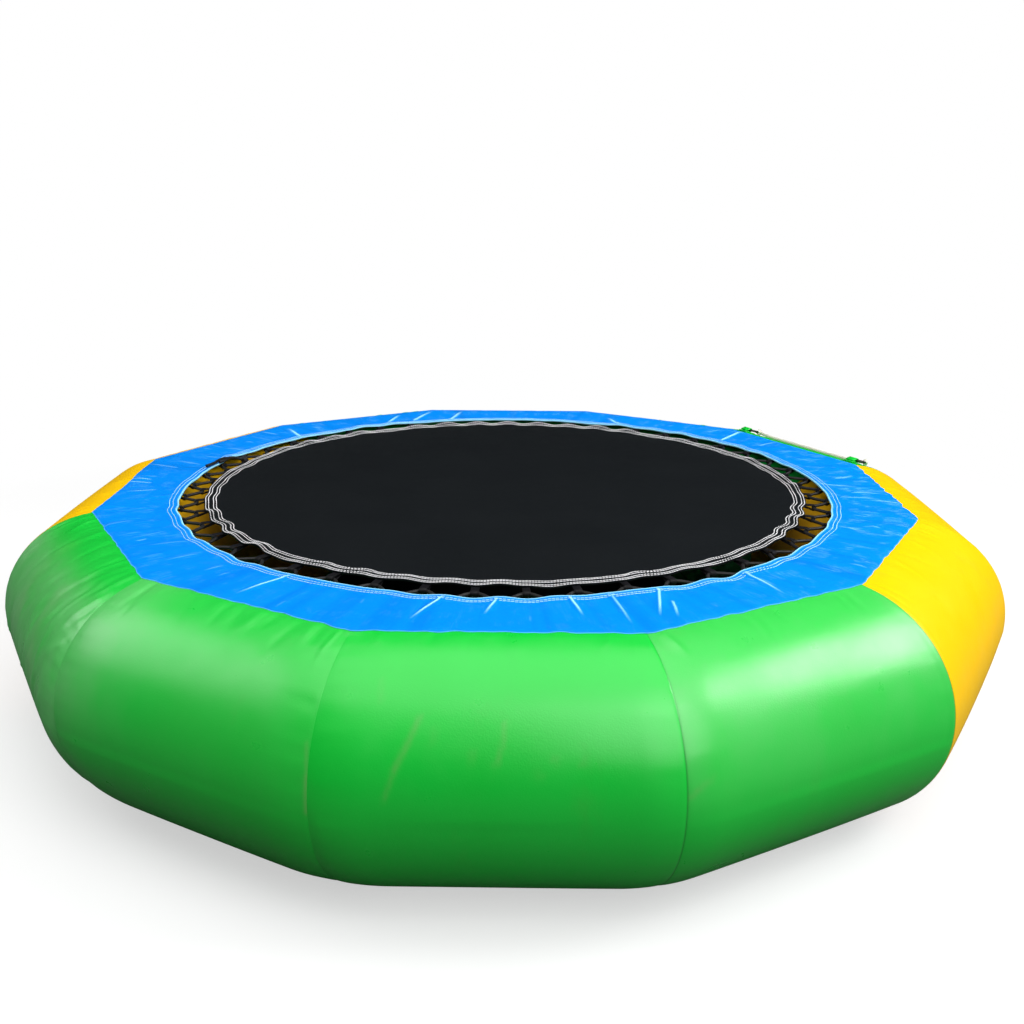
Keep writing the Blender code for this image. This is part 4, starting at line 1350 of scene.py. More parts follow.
# %% Loops of the mat
rng = np.random.default_rng(43)
for arc in range(ARCS):
    turns = [LOOP_TURN * (2 * arc + i + 0.5) for i in range(2)]
    loops = [hem_loop(rng, turn, MAT_LOOP_OUT, False, MAT_LOOP_LENGTH) for turn in turns]
    piece = new_piece(f"mat_loops_{arc + 1:02d}", *join(loops, False), black_webbing)
    stretch_with_mat(piece, ARC_TURN * (arc + 0.5), "mat_loop_band", slot="black_webbing")
tape = hem_tape(mat_edge, -0.026, -0.001, mat_under)
mat_tape = new_piece("mat_hem_tape", tape, sweep_faces(*tape.shape[:2], True), black_webbing)
stands_for(mat_tape, "mat", "mat_loop_band")
print("mat loops:", 2 * ARCS)

# %% [markdown]
# Lacing cord
#
# Elastic cord runs through a cover loop, a mat loop, the next cover loop and so on, and its ends are tied
# in two knots. Inside a loop it lies straight, and between loops it crosses the gap. The corners are
# softened, because a thick cord can't turn sharply, and a braid is drawn on it with two crossed waves.

# %% Cord material
BRAID_PITCH = 0.0042
FUZZ_SCALE = 800.0


def braided_cord(name, colour, roughness):
    """Diamonds of a braid: two sets of slanted waves over the cord's own length and girth, painted darker in
    their dips and lighter on their crowns.
    """
    material, tree, shader = new_material(name, colour, roughness, specular=0.45)
    surface = add_node(tree, "ShaderNodeUVMap", uv_map="surface").outputs["UV"]
    parts = add_node(tree, "ShaderNodeSeparateXYZ", {0: surface})
    girth, along = (product(tree, parts.outputs[axis], math.tau / BRAID_PITCH) for axis in ("X", "Y"))
    waves = [arithmetic(tree, "SINE", arithmetic(tree, kind, girth, along)) for kind in ("ADD", "SUBTRACT")]
    braid = product(tree, *waves)
    fuzz = noise(tree, object_place(tree), FUZZ_SCALE, 2.0)
    set_bump(tree, shader, arithmetic(tree, "ADD", braid, fuzz), 0.0004, 0.7)
    # Painted shade in the braid's dips and a painted highlight on its crowns.
    shade = remap(tree, braid, -1.0, 1.0, 0.0, 1.0)
    paint(tree, shader, blend_colours(tree, shade, toned(colour, 0.55), toned(colour, 1.4)))
    return material


def tube_uv(points, radius):
    """Girth and length in metres. The girth runs up one side and back down the other, so it has no jump."""
    rows, sides = points.shape[:2]
    step = np.linalg.norm(np.diff(points.mean(axis=1), axis=0), axis=1)
    along = np.concatenate([[0.0], np.cumsum(step)])[:, None]
    girth = np.minimum(np.arange(sides), sides - np.arange(sides))[None, :] * math.tau * radius / sides
    return np.stack(np.broadcast_arrays(girth, along), axis=-1)


black_cord = braided_cord("shock_cord_look", (0.0055, 0.0055, 0.0062), 0.5)

# %% Lacing
CORD_RADIUS = 0.0031
CORD_SIDES = 12
CORD_WANDER = 0.0009
STRAIGHT_REACH = LOOP_WIDTH / 2.0 + 0.0035


def lacing_path(arc):
    """The cord's line over one arc, from the middle of one cover loop to the next but one."""
    sag = np.random.default_rng(5).uniform(-CORD_WANDER, CORD_WANDER, 4 * LOOPS)
    corners = []
    for number in range(4 * arc, 4 * arc + 5):
        turn = LOOP_TURN / 2.0 * number
        out = MAT_LOOP_OUT if number % 2 else COVER_LOOP_OUT
        for side in (-STRAIGHT_REACH, 0.0, STRAIGHT_REACH):
            lift = 0.0 if side == 0.0 else sag[(2 * number + (side > 0.0)) % len(sag)]
            corners.append(around(np.array(turn), side, out, CORD_HEIGHT + lift))
    return soften(np.array(corners[1:-1]), False, 3)


for arc in range(ARCS):
    path = lacing_path(arc)
    points = sweep(path, round_section(CORD_RADIUS, CORD_SIDES), (0.0, 0.0, 1.0))
    faces, uv = sweep_faces(*points.shape[:2], False), tube_uv(points, CORD_RADIUS)
    piece = new_piece(f"lacing_{arc + 1:02d}", points, faces, black_cord, uv)
    stretch_with_mat(piece, ARC_TURN * (arc + 0.5), "lacing_cord", slot="black_shock_cord")
print("lacing:", ARCS, "arcs of", round(path_length(path), 3), "m")

# %% [markdown]
# A knot is a cord that goes round and through itself. The trefoil curve does just that: a line that
# turns twice round a ring while it goes three times round the ring's own section.

# %% Lacing knots
KNOT_STEPS = 96
KNOT_SIDES = 10
KNOT_SQUASH = 0.9
KNOT_CORD = 0.0032


def trefoil(size):
    """A closed curve that passes through itself three times, size across, flat about the local Z."""
    t = full_turn(KNOT_STEPS)
    x, y = np.sin(t) + 2.0 * np.sin(2.0 * t), np.cos(t) - 2.0 * np.cos(2.0 * t)
    return size / 6.0 * np.stack([x, y, -1.1 * np.sin(3.0 * t)], axis=-1)


def lump(centre, size, cord_radius, lean):
    """A trefoil of cord about a centre, leant over so that no two look alike."""
    points = sweep(trefoil(size), round_section(cord_radius, KNOT_SIDES), (0.0, 0.0, 1.0), closed=True)
    cos, sin = math.cos(lean), math.sin(lean)
    tilt = np.array([[1.0, 0.0, 0.0], [0.0, cos, -sin], [0.0, sin, cos]])
    spin = np.array([[cos, -sin, 0.0], [sin, cos, 0.0], [0.0, 0.0, 1.0]])
    return (points * np.array([1.0, 1.0, KNOT_SQUASH])) @ (spin @ tilt).T + np.asarray(centre)


TAIL_HEIGHTS = (0.4130, 0.4200, 0.4256, 0.4262, 0.4252, 0.4248)
TAIL_REACH = (0.003, 0.009, 0.017, 0.019, 0.016, 0.023)


def tail(x, y, lean):
    """A loose end: up through the gap beside its knot, and along the rolled edge of the cover."""
    turn = math.atan2(x, -y) + lean * np.linspace(0.0, 1.0, len(TAIL_HEIGHTS))
    path = around(turn, 0.0, np.hypot(x, y) + np.array(TAIL_REACH), np.array(TAIL_HEIGHTS))
    return sweep(soften(path, False, 3), round_section(KNOT_CORD, KNOT_SIDES), (0.3, 0.5, 0.8))


# Each knot's place seen from above, and the turn round the ring that its loose end runs through.
LACING_KNOTS = {"inner": (-0.61357, 0.23481, 0.185), "outer": (-0.60483, 0.22477, 0.115)}
for number, (place, (x, y, loose)) in enumerate(LACING_KNOTS.items()):
    shapes = lump((x, y, CORD_HEIGHT + 0.002), 0.0150, KNOT_CORD, 0.5 + 0.9 * number), tail(x, y, loose)
    points = np.concatenate([shape.reshape(-1, 3) for shape in shapes])
    faces = sweep_faces(*shapes[0].shape[:2], True)
    faces += sweep_faces(*shapes[1].shape[:2], False, KNOT_STEPS * KNOT_SIDES)
    uv = np.concatenate([tube_uv(shape, KNOT_CORD).reshape(-1, 2) for shape in shapes])
    piece = new_piece(f"tied_knot_{place}", points, faces, black_cord, uv)
    stretch_with_mat(piece, math.atan2(x, -y), f"lacing_knot_{place}", slot="black_shock_cord")
print("knots:", len(LACING_KNOTS))

# %% [markdown]
# Patches, straps and rings
#
# A patch is the ring's own fabric, glued to the wall, so it follows the wall's curve. A strap holds a ring
# by its straight side. The rings inside the ring are bent steel wire, and the handle's are plastic.

# %% Patches that follow the tube
PATCH_THICKNESS = 0.001
PATCH_COLUMNS, PATCH_ROWS = 25, 15
PATCH_CORNER = 0.25


def curved_patch(turn_degrees, rise_degrees, along, length, height):
    """A sheet that follows the tube: a grid over length and height, with both faces and a rounded rim.

    Near its two ends the sheet gets lower, as a circle does, which rounds its four corners.
    """
    from_middle = np.linspace(-1.0, 1.0, PATCH_COLUMNS) * length / 2.0
    corner = PATCH_CORNER * height
    edge = length / 2.0 - np.abs(from_middle)
    cut = np.where(edge < corner, corner - np.sqrt(np.maximum(corner**2 - (corner - edge) ** 2, 0.0)), 0.0)
    half = height / 2.0 - cut
    across = np.linspace(-1.0, 1.0, PATCH_ROWS)
    v = np.concatenate([across, across[::-1]])
    lift = np.concatenate([np.full(PATCH_ROWS, PATCH_THICKNESS), np.zeros(PATCH_ROWS)])
    lift[[0, PATCH_ROWS - 1]] = 0.6 * PATCH_THICKNESS
    rise = math.radians(rise_degrees) + v[None, :] * half[:, None] / TUBE_RADIUS
    radius = TUBE_RADIUS + FIT_GAP + lift[None, :]
    out, up = TUBE_CENTRE + radius * np.cos(rise), TUBE_RADIUS + radius * np.sin(rise)
    return around(math.radians(turn_degrees), (along + from_middle)[:, None], out, up)


# %% Rings
RING_WIDTH = 0.038
RING_STRAIGHT = 0.012
RING_WIRE = 0.0025
RING_CORNER = 0.004


def d_ring(frame):
    """A closed bar: a straight side on the Y axis, two tight corners, and a bow towards X."""
    half = RING_WIDTH / 2.0
    side = np.linspace(-(half - RING_CORNER), half - RING_CORNER, 9)
    corner = np.radians(np.linspace(180.0, 90.0, 7))[1:]
    bow = np.radians(np.linspace(90.0, -90.0, 25))
    straight = np.stack([np.zeros(9), side], axis=-1)
    bend_x, bend_y = RING_CORNER * np.cos(corner), RING_CORNER * np.sin(corner)
    first = np.stack([RING_CORNER + bend_x, half - RING_CORNER + bend_y], axis=-1)
    curve = np.stack([RING_STRAIGHT + half * np.cos(bow), half * np.sin(bow)], axis=-1)
    last = first[::-1][:-1] * np.array([1.0, -1.0])
    path = flat_path(np.concatenate([straight, first, curve, last]))
    return carried(sweep(path, round_section(RING_WIRE, 14), (0.0, 0.0, 1.0), closed=True), frame)


def bar_height(strap_thickness):
    """How far a ring's straight side stands off the wall, over the patch and the strap's flat leg."""
    return FIT_GAP + PATCH_THICKNESS + FIT_GAP + strap_thickness + RING_WIRE + FIT_GAP


# %% [markdown]
# Steel wire is polished by drawing it, which leaves fine streaks along it. Moulded plastic has an even
# colour, a grain from its mould, and a few spots that handling has rubbed smoother.

# %% Steel and plastic
STREAK_SCALE = 300.0
MOULD_GRAIN_SCALE = 1500.0
RUBBED_SCALE = 60.0


def brushed_steel(name):
    """Bare metal whose roughness and bump follow one fine noise, drawn out along X and Y."""
    material, tree, shader = new_material(name, (0.62, 0.62, 0.64), 0.28, 1.0)
    streaks = add_node(tree, "ShaderNodeMapping", {"Vector": object_place(tree), "Scale": (1.0, 1.0, 12.0)})
    grain = noise(tree, streaks.outputs[0], STREAK_SCALE, 3.0)
    tree.links.new(remap(tree, grain, 0.3, 0.7, 0.22, 0.40), shader.inputs["Roughness"])
    set_bump(tree, shader, grain, 0.0001, 0.2)
    return material


def moulded_plastic(name, colour, roughness):
    """Injection-moulded plastic: an even colour, a fine spark-eroded grain, and a few rubbed spots."""
    material, tree, shader = new_material(name, colour, roughness)
    place = object_place(tree)
    grain = noise(tree, place, MOULD_GRAIN_SCALE, 2.0)
    rubbed = noise(tree, place, RUBBED_SCALE, 5.0, 0.6)
    gloss = remap(tree, rubbed, 0.35, 0.7, roughness - 0.08, roughness + 0.12)
    paint(tree, shader, blend_colours(tree, rubbed, toned(colour, 0.8), toned(colour, 1.3)), gloss)
    set_bump(tree, shader, grain, 0.0002, 0.3)
    return material


steel = brushed_steel("stainless_wire")
ring_plastic = moulded_plastic("ring_plastic_look", (0.012, 0.012, 0.013), 0.4)
valve_plastic = moulded_plastic("valve_plastic_look", (0.014, 0.014, 0.015), 0.45)
flap_rubber = moulded_plastic("flap_rubber_look", (0.18, 0.18, 0.18), 0.7)

SLOT_LOOKS = {"green_pvc": green_pvc, "black_webbing": black_webbing, "stainless_steel": steel}
SLOT_LOOKS |= {"black_ring_plastic": ring_plastic, "black_valve_plastic": valve_plastic}
SLOT_LOOKS |= {"grey_flap_rubber": flap_rubber}
print("finishes of the fittings:", len(SLOT_LOOKS))


def fit(name, points, closed, body, node, slot):
    """A swept piece that stands for one node, in the finish of its slot."""
    piece = new_piece(name, points, sweep_faces(*points.shape[:2], closed), SLOT_LOOKS[slot])
    return stands_for(piece, body, node)


# %% Anchor points inside the ring
ANCHOR_TURNS = {"front": 0.0, "right": 90.0, "back": 180.0, "left": 270.0}
ANCHOR_PATCH = (0.110, 0.036)
ANCHOR_STRAP = (0.0015, 0.022)
ANCHOR_BAR_DROP = 0.008
STRAP_WIDTH = 0.025
RING_BORE = RING_WIRE + FIT_GAP
for side, turn in ANCHOR_TURNS.items():
    patch = curved_patch(turn, 180.0, 0.0, *ANCHOR_PATCH)
    fit(f"anchor_tab_{side}", patch, False, "ring", f"anchor_patch_{side}", "green_pvc")
    thickness, length = ANCHOR_STRAP
    bar = shifted(tube_frame(turn, 180.0), 0.0, ANCHOR_BAR_DROP, bar_height(thickness))
    strap = strap_loop(turned_frame(bar, (0, 1, 0), (0, 0, -1)), RING_BORE, thickness, length, STRAP_WIDTH)
    fit(f"anchor_webbing_{side}", strap, False, "ring", f"anchor_strap_{side}", "black_webbing")
    ring, body = d_ring(turned_frame(bar, (0, 1, 0), (1, 0, 0))), f"anchor_ring_{side}"
    fit(f"anchor_wire_{side}", ring, True, body, body, "stainless_steel")
print("anchor points:", len(ANCHOR_TURNS))

# %% [markdown]
# The inflation valve
#
# The valve is moulded plastic, so all of its pieces are round: a profile of radius and height is turned
# about the valve's axis. The corners are eased, the cap has ribs for the fingers, and the insert carries a
# screw thread, which is a small wave that climbs by one pitch in each turn.

# %% Sizes of the valve
VALVE_STEPS = 72
EASED_CORNER = 0.0004
NECK_RADIUS, NECK_BORE, NECK_ABOVE, NECK_BELOW = 0.016, 0.013, 0.006, 0.010
FLANGE_RADIUS, FLANGE_TOP = 0.029, FIT_GAP + 0.0015
BEAD_INNER, BEAD_OUTER, BEAD_TOP = 0.0225, 0.0255, FLANGE_TOP + 0.0006
INSERT_RADIUS, INSERT_BORE, INSERT_HEAD = NECK_BORE - FIT_GAP, 0.009, 0.0175
INSERT_LOW, INSERT_TOP, INSERT_DEPTH = NECK_ABOVE + FIT_GAP, NECK_ABOVE + FIT_GAP + 0.003, 0.008
STEM_RADIUS, BUTTON_RADIUS, BUTTON_TOP, BUTTON_LOW = 0.0012, 0.0022, -0.0022, -0.0032
DISC_RADIUS, DISC_TOP, DISC_LOW = 0.0117, -0.0083, -0.0093
STEM_BORE, SEAT_TOP, SEAT_HOLE = STEM_RADIUS + FIT_GAP, -0.0065, 0.002
CAP_RADIUS, CAP_LOW, CAP_TOP, PLUG_LENGTH = 0.0135, INSERT_TOP + FIT_GAP, INSERT_TOP + FIT_GAP + 0.004, 0.006
CAP_EDGE, DISH_DEPTH, DISH_INNER, DISH_OUTER = 0.001, 0.0007, 0.0085, 0.0092
THREAD_PITCH, THREAD_DEPTH, THREAD_ROWS = 0.0022, 0.0006, 44
FINGER_RIBS, RIB_DEPTH = 30, 0.0004


# %% Turned shapes
def eased(profile, closed):
    """Each corner becomes two points, a little way along its own two edges."""
    profile = np.asarray(profile, float)
    cut = []
    for step in (1, -1):
        edge = np.roll(profile, step, axis=0) - profile
        length = np.linalg.norm(edge, axis=1, keepdims=True)
        cut.append(profile + edge / length * np.minimum(EASED_CORNER, 0.4 * length))
    corners = np.stack(cut, axis=1)
    if closed:
        return corners.reshape(-1, 2)
    return np.concatenate([profile[:1], corners[1:-1].reshape(-1, 2), profile[-1:]])


def lathe(profile, closed, change=None):
    """A profile of (radius, height) turned about Z. An open one starts and ends on the axis."""
    profile = eased(profile, closed)
    ring = profile if closed else profile[1:-1]
    turn = full_turn(VALVE_STEPS)[:, None]
    radius, height = np.broadcast_arrays(ring[None, :, 0], ring[None, :, 1] + 0.0 * turn)
    if change is not None:
        radius = radius + change(turn, radius, height)
    points = np.stack([radius * np.cos(turn), radius * np.sin(turn), height], axis=-1)
    faces = grid_faces(*points.shape[:2], True, closed).tolist()
    if closed:
        return points.reshape(-1, 3), faces
    faces += closing_fans(*points.shape[:2])
    return np.concatenate([points.reshape(-1, 3), [[0, 0, profile[0, 1]], [0, 0, profile[-1, 1]]]]), faces


# %% [markdown]
# A round hole is cut with an exact Boolean. Its result is kept as the mesh, so that no modifier is left
# on the piece, and the numbers that the mesh carries stay with it.

# %% Round holes
def cut_out(item, points, faces):
    """Cut closed shapes out of a piece with an exact Boolean, and keep the result as its mesh."""
    cutter = new_piece("cutter", points, faces, item.data.materials[0])
    change = item.modifiers.new("cut", "BOOLEAN")
    change.operation, change.solver, change.object = "DIFFERENCE", "EXACT", cutter
    graph = bpy.context.evaluated_depsgraph_get()
    graph.update()
    cut = item.evaluated_get(graph)
    mesh = bpy.data.meshes.new_from_object(cut, preserve_all_data_layers=True, depsgraph=graph)
    item.modifiers.clear()
    item.data = mesh
    bpy.data.objects.remove(cutter)


def rod(radius, spots, low, high):
    """Straight round bars at the given places, as one list of points and faces."""
    points, faces = [], []
    for x, y in spots:
        bar, sides = lathe([(0.0, high), (radius, high), (radius, low), (0.0, low)], False)
        faces += [[corner + len(bar) * len(points) for corner in face] for face in sides]
        points.append(bar + np.array([x, y, 0.0]))
    return np.concatenate(points), faces


# %% Profiles of the valve
valve_frame = tube_frame(180.0, 45.0)
hole, sides = rod(NECK_RADIUS + FIT_GAP, [(0.0, 0.0)], -0.02, 0.02)
cut_out(panels[7], carried(hole, valve_frame), sides)
base = [(NECK_RADIUS, NECK_ABOVE), (NECK_RADIUS, FLANGE_TOP), (BEAD_INNER, FLANGE_TOP)]
base += [(BEAD_INNER, BEAD_TOP), (BEAD_OUTER, BEAD_TOP), (BEAD_OUTER, FLANGE_TOP)]
base += [(FLANGE_RADIUS, FLANGE_TOP), (FLANGE_RADIUS, FIT_GAP), (NECK_RADIUS, FIT_GAP)]
base += [(NECK_RADIUS, -NECK_BELOW), (NECK_BORE, -NECK_BELOW), (NECK_BORE, NECK_ABOVE)]
thread_rows = [(INSERT_RADIUS, height) for height in np.linspace(INSERT_LOW, -INSERT_DEPTH, THREAD_ROWS)]
insert = [(INSERT_HEAD, INSERT_TOP), (INSERT_HEAD, INSERT_LOW), *thread_rows, (STEM_BORE, -INSERT_DEPTH)]
insert += [(STEM_BORE, SEAT_TOP), (INSERT_BORE, SEAT_TOP), (INSERT_BORE, INSERT_TOP)]
flap = [(0.0, BUTTON_TOP), (BUTTON_RADIUS, BUTTON_TOP), (BUTTON_RADIUS, BUTTON_LOW)]
flap += [(STEM_RADIUS, BUTTON_LOW), (STEM_RADIUS, DISC_TOP), (DISC_RADIUS, DISC_TOP)]
flap += [(DISC_RADIUS, DISC_LOW), (0.0, DISC_LOW)]
cap = [(0.0, CAP_TOP - DISH_DEPTH), (DISH_INNER, CAP_TOP - DISH_DEPTH), (DISH_OUTER, CAP_TOP)]
cap += [(CAP_RADIUS - CAP_EDGE, CAP_TOP), (CAP_RADIUS, CAP_TOP - CAP_EDGE)]
cap += [(CAP_RADIUS, CAP_LOW), (INSERT_BORE - FIT_GAP, CAP_LOW)]
cap += [(INSERT_BORE - FIT_GAP, CAP_LOW - PLUG_LENGTH), (0.0, CAP_LOW - PLUG_LENGTH)]


def thread_groove(turn, radius, height):
    """A groove that climbs one pitch a turn, on the insert's outer wall below its head only."""
    wave = 0.5 - 0.5 * np.cos(math.tau * height / THREAD_PITCH - turn)
    between = (height < INSERT_LOW - 0.001) & (height > 0.001 - INSERT_DEPTH)
    return -THREAD_DEPTH * wave * ((np.abs(radius - INSERT_RADIUS) < 0.0001) & between)


def finger_ribs(turn, radius, height):
    """Shallow grooves round the edge of a head."""
    return -RIB_DEPTH * (0.5 - 0.5 * np.cos(FINGER_RIBS * turn)) * (radius > CAP_RADIUS - 0.0006)


def grooved(turn, radius, height):
    """The insert's two reliefs: the thread on its wall and the ribs round its head."""
    on_head = radius > INSERT_HEAD - 0.0006
    return thread_groove(turn, radius, height) + finger_ribs(turn, radius, height) * on_head


# %% Make the valve's pieces
VALVE_PIECES = [
    ("valve_flange", base, True, None, "ring", "valve_base", "black_valve_plastic"),
    ("valve_screw", insert, True, grooved, "valve_insert", "valve_insert", "black_valve_plastic"),
    ("valve_rubber", flap, False, None, "valve_flap", "valve_flap", "grey_flap_rubber"),
    ("valve_lid", cap, False, finger_ribs, "valve_cap", "valve_cap", "black_valve_plastic"),
]
for name, profile, closed, change, body, node, slot in VALVE_PIECES:
    points, faces = lathe(profile, closed, change)
    piece = new_piece(name, points, faces, SLOT_LOOKS[slot])
    if name == "valve_screw":
        holes = round_section((STEM_BORE + INSERT_BORE) / 2, 4)
        cut_out(piece, *rod(SEAT_HOLE, holes, -INSERT_DEPTH - 0.001, SEAT_TOP + 0.001))
    piece.data.transform(Matrix(valve_frame.tolist()))
    stands_for(piece, body, node)
    print(name, len(piece.data.polygons), "faces")

# %% [markdown]
# A thin strap keeps the cap on the valve. It is one sweep along a hairpin from the insert's head to the
# cap, and its two ends run a little way into them.

# %% Strap of the cap
STRAP_LOW, STRAP_HIGH, STRAP_RADIUS, STRAP_ROOT = 0.0078, 0.0116, 0.0008, 0.001
STRAP_LINE = [(0.0178, STRAP_LOW), (0.0208, STRAP_LOW), (0.0238, STRAP_LOW)]
STRAP_LINE += [(0.0268, 0.0097), (0.0238, STRAP_HIGH), (0.0138, STRAP_HIGH)]
strap_line = soften(np.array([(x, 0.0, z) for x, z in STRAP_LINE]), False, 3)
strap_line[[0, -1], 0] -= STRAP_ROOT
strap = carried(sweep(strap_line, round_section(STRAP_RADIUS, 12), (0.0, 1.0, 0.0)), valve_frame)
cap_strap = new_piece("valve_cap_strap", strap, sweep_faces(*strap.shape[:2], False), valve_plastic)
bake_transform(cap_strap)
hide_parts("valve_tether")

# %% [markdown]
# Grab handle
#
# Two green tabs hold two plastic rings, and a white rope is tied between the rings. The rope is three
# strands laid together. Its section has three lobes, and the section turns as it goes along.

# %% Rope
GRAB_TURN = 120.0
GRAB_RISE = 78.75
ROPE_RISE = 67.5
GRAB_SPREAD = 0.370
GRAB_PATCH = (0.044, 0.030)
GRAB_PATCH_DROP = 0.003
GRAB_STRAP = (0.0024, 0.018)
GRAB_BAR_DROP = -0.006
ROPE_RADIUS = 0.004
ROPE_STEPS, ROPE_SIDES = 160, 24
KNOT_RADIUS = 0.008
ROPE_LAY = 0.022
ROPE_CORE = 0.74
DIRT_SCALE = 30.0


def rope_material(name, colour):
    """Pale laid rope: painted shade in the valleys between strands, darker patches of dirt, and a fuzz of
    fibres.
    """
    material, tree, shader = new_material(name, colour, 0.75)
    fuzz = noise(tree, object_place(tree), FIBRE_SCALE, 3.0)
    dirt = noise(tree, object_place(tree), DIRT_SCALE, 4.0)
    # Painted shade in the strands' valleys, or dirt where that is darker.
    shade = larger(tree, number_on_mesh(tree, "valley"), remap(tree, dirt, 0.5, 0.8, 0.0, 0.5))
    paint(tree, shader, blend_colours(tree, shade, colour, toned(colour, 0.55)))
    set_bump(tree, shader, fuzz, 0.0004, 0.6)
    return material


def strand_section(length, radius, sides, lay):
    """Sections of three strands, each turned a little further than the last, and the valleys between them,
    which the rope's material paints darker as shade.
    """
    angle = full_turn(sides)
    twist = math.tau * length[:, None] / lay
    swell = np.abs(np.cos(1.5 * (angle[None, :] - twist)))
    reach = radius * (ROPE_CORE + (1.0 - ROPE_CORE) * swell)
    return np.stack([reach * np.cos(angle), reach * np.sin(angle)], axis=-1), 1.0 - swell


SLOT_LOOKS["white_rope"] = rope_material("white_rope_look", (0.70, 0.67, 0.58))

# %% Tabs, straps and rings of the handle
wall = tube_frame(GRAB_TURN, ROPE_RISE)
knots = []
for side, sign in (("left", 1.0), ("right", -1.0)):
    patch_rise = GRAB_RISE - math.degrees(GRAB_PATCH_DROP / TUBE_RADIUS)
    patch = curved_patch(GRAB_TURN, patch_rise, sign * GRAB_SPREAD / 2.0, *GRAB_PATCH)
    fit(f"grab_tab_{side}", patch, False, "ring", f"grab_patch_{side}", "green_pvc")
    thickness, length = GRAB_STRAP
    spot = shifted(tube_frame(GRAB_TURN, GRAB_RISE), sign * GRAB_SPREAD / 2.0, 0.0, 0.0)
    bar = shifted(spot, 0.0, GRAB_BAR_DROP, bar_height(thickness))
    strap = strap_loop(turned_frame(bar, (0, -1, 0), (0, 0, -1)), RING_BORE, thickness, length, STRAP_WIDTH)
    fit(f"grab_webbing_{side}", strap, False, "ring", f"grab_strap_{side}", "green_pvc")
    bar_spot = np.linalg.inv(wall)[:3] @ np.append(bar[:3, 3], 1.0)
    reach = RING_STRAIGHT + RING_WIDTH / 2.0 + RING_WIRE + FIT_GAP + KNOT_RADIUS
    slope = (bar_spot[2] - FIT_GAP - KNOT_RADIUS) / reach
    outwards = np.array([0.0, -math.sqrt(1.0 - slope**2), -slope])
    ring = d_ring(turned_frame(shifted(wall, *bar_spot), outwards, (1, 0, 0)))
    fit(f"grab_loop_{side}", ring, True, "grab_handle", f"grab_ring_{side}", "black_ring_plastic")
    knots.append(bar_spot + reach * outwards)
print("handle rings:", len(knots))

# %% [markdown]
# The rope runs from one knot to the other and rests on the tube between them, so its line comes down
# quickly behind each knot and is straight from there on.

# %% Rope and its knots
towards = (knots[1] - knots[0]) / np.linalg.norm(knots[1] - knots[0])
share = np.linspace(0.0, 1.0, ROPE_STEPS)[:, None]
start, finish = knots[0] + towards * (KNOT_RADIUS + FIT_GAP), knots[1] - towards * (KNOT_RADIUS + FIT_GAP)
lowered = 1.0 - (2.0 * share - 1.0) ** 8
rope_line = start + (finish - start) * share - np.array([0.0, 0.0, KNOT_RADIUS - ROPE_RADIUS]) * lowered
rope_path = carried(rope_line, wall)
along = np.concatenate([[0.0], np.cumsum(np.linalg.norm(np.diff(rope_path, axis=0), axis=1))])
section, valley = strand_section(along, ROPE_RADIUS, ROPE_SIDES, ROPE_LAY)
points = sweep(rope_path, section, wall[:3, 2])
rope = fit("handle_rope", points, False, "grab_handle", "grab_rope", "white_rope")
set_numbers(rope, {"valley": valley})
tied = []
for number, (side, knot) in enumerate(zip(("left", "right"), knots)):
    points = lump(carried(knot, wall), 0.0125, 0.0035, 0.4 + 1.1 * number)
    name = f"handle_knot_{side}"
    tied.append(fit(name, points, True, "grab_handle", f"grab_rope_knot_{side}", "white_rope"))
    set_numbers(tied[-1], {"valley": np.zeros(points.shape[:2])})

# %% [markdown]
# Floor, light and camera
#
# The photograph was taken from a little above, under a wide soft sky. Four square lamps give its broad
# highlights: one overhead, one in front, one on the right and a weaker one on the left. The floor is white
# to the camera but darker to the light that it sends back, so the underside of the ring stays deep.

# %% Stage
FLOOR_WHITE = 0.97
FLOOR_BOUNCE = 0.10
SHADOW_REACH = (1.15, 2.4)
SHADOW_EASED = 0.55
# Under the ring the floor is painted near black to the camera, a painted shade seen through the gap, and
# paler to the light that it sends back, so that it lights the ring's inner walls.
UNDER_MAT = (0.012, 0.014, 0.015)
UNDER_MAT_BOUNCE = (0.45, 0.42, 0.38)
UNDER_MAT_REACH = (0.765, 0.780)
STUDIO_LEVEL = 0.16
STUDIO_GLOSS = 0.12
FLOOR_HALF = 60.0
FLOOR_DROP = -0.0006


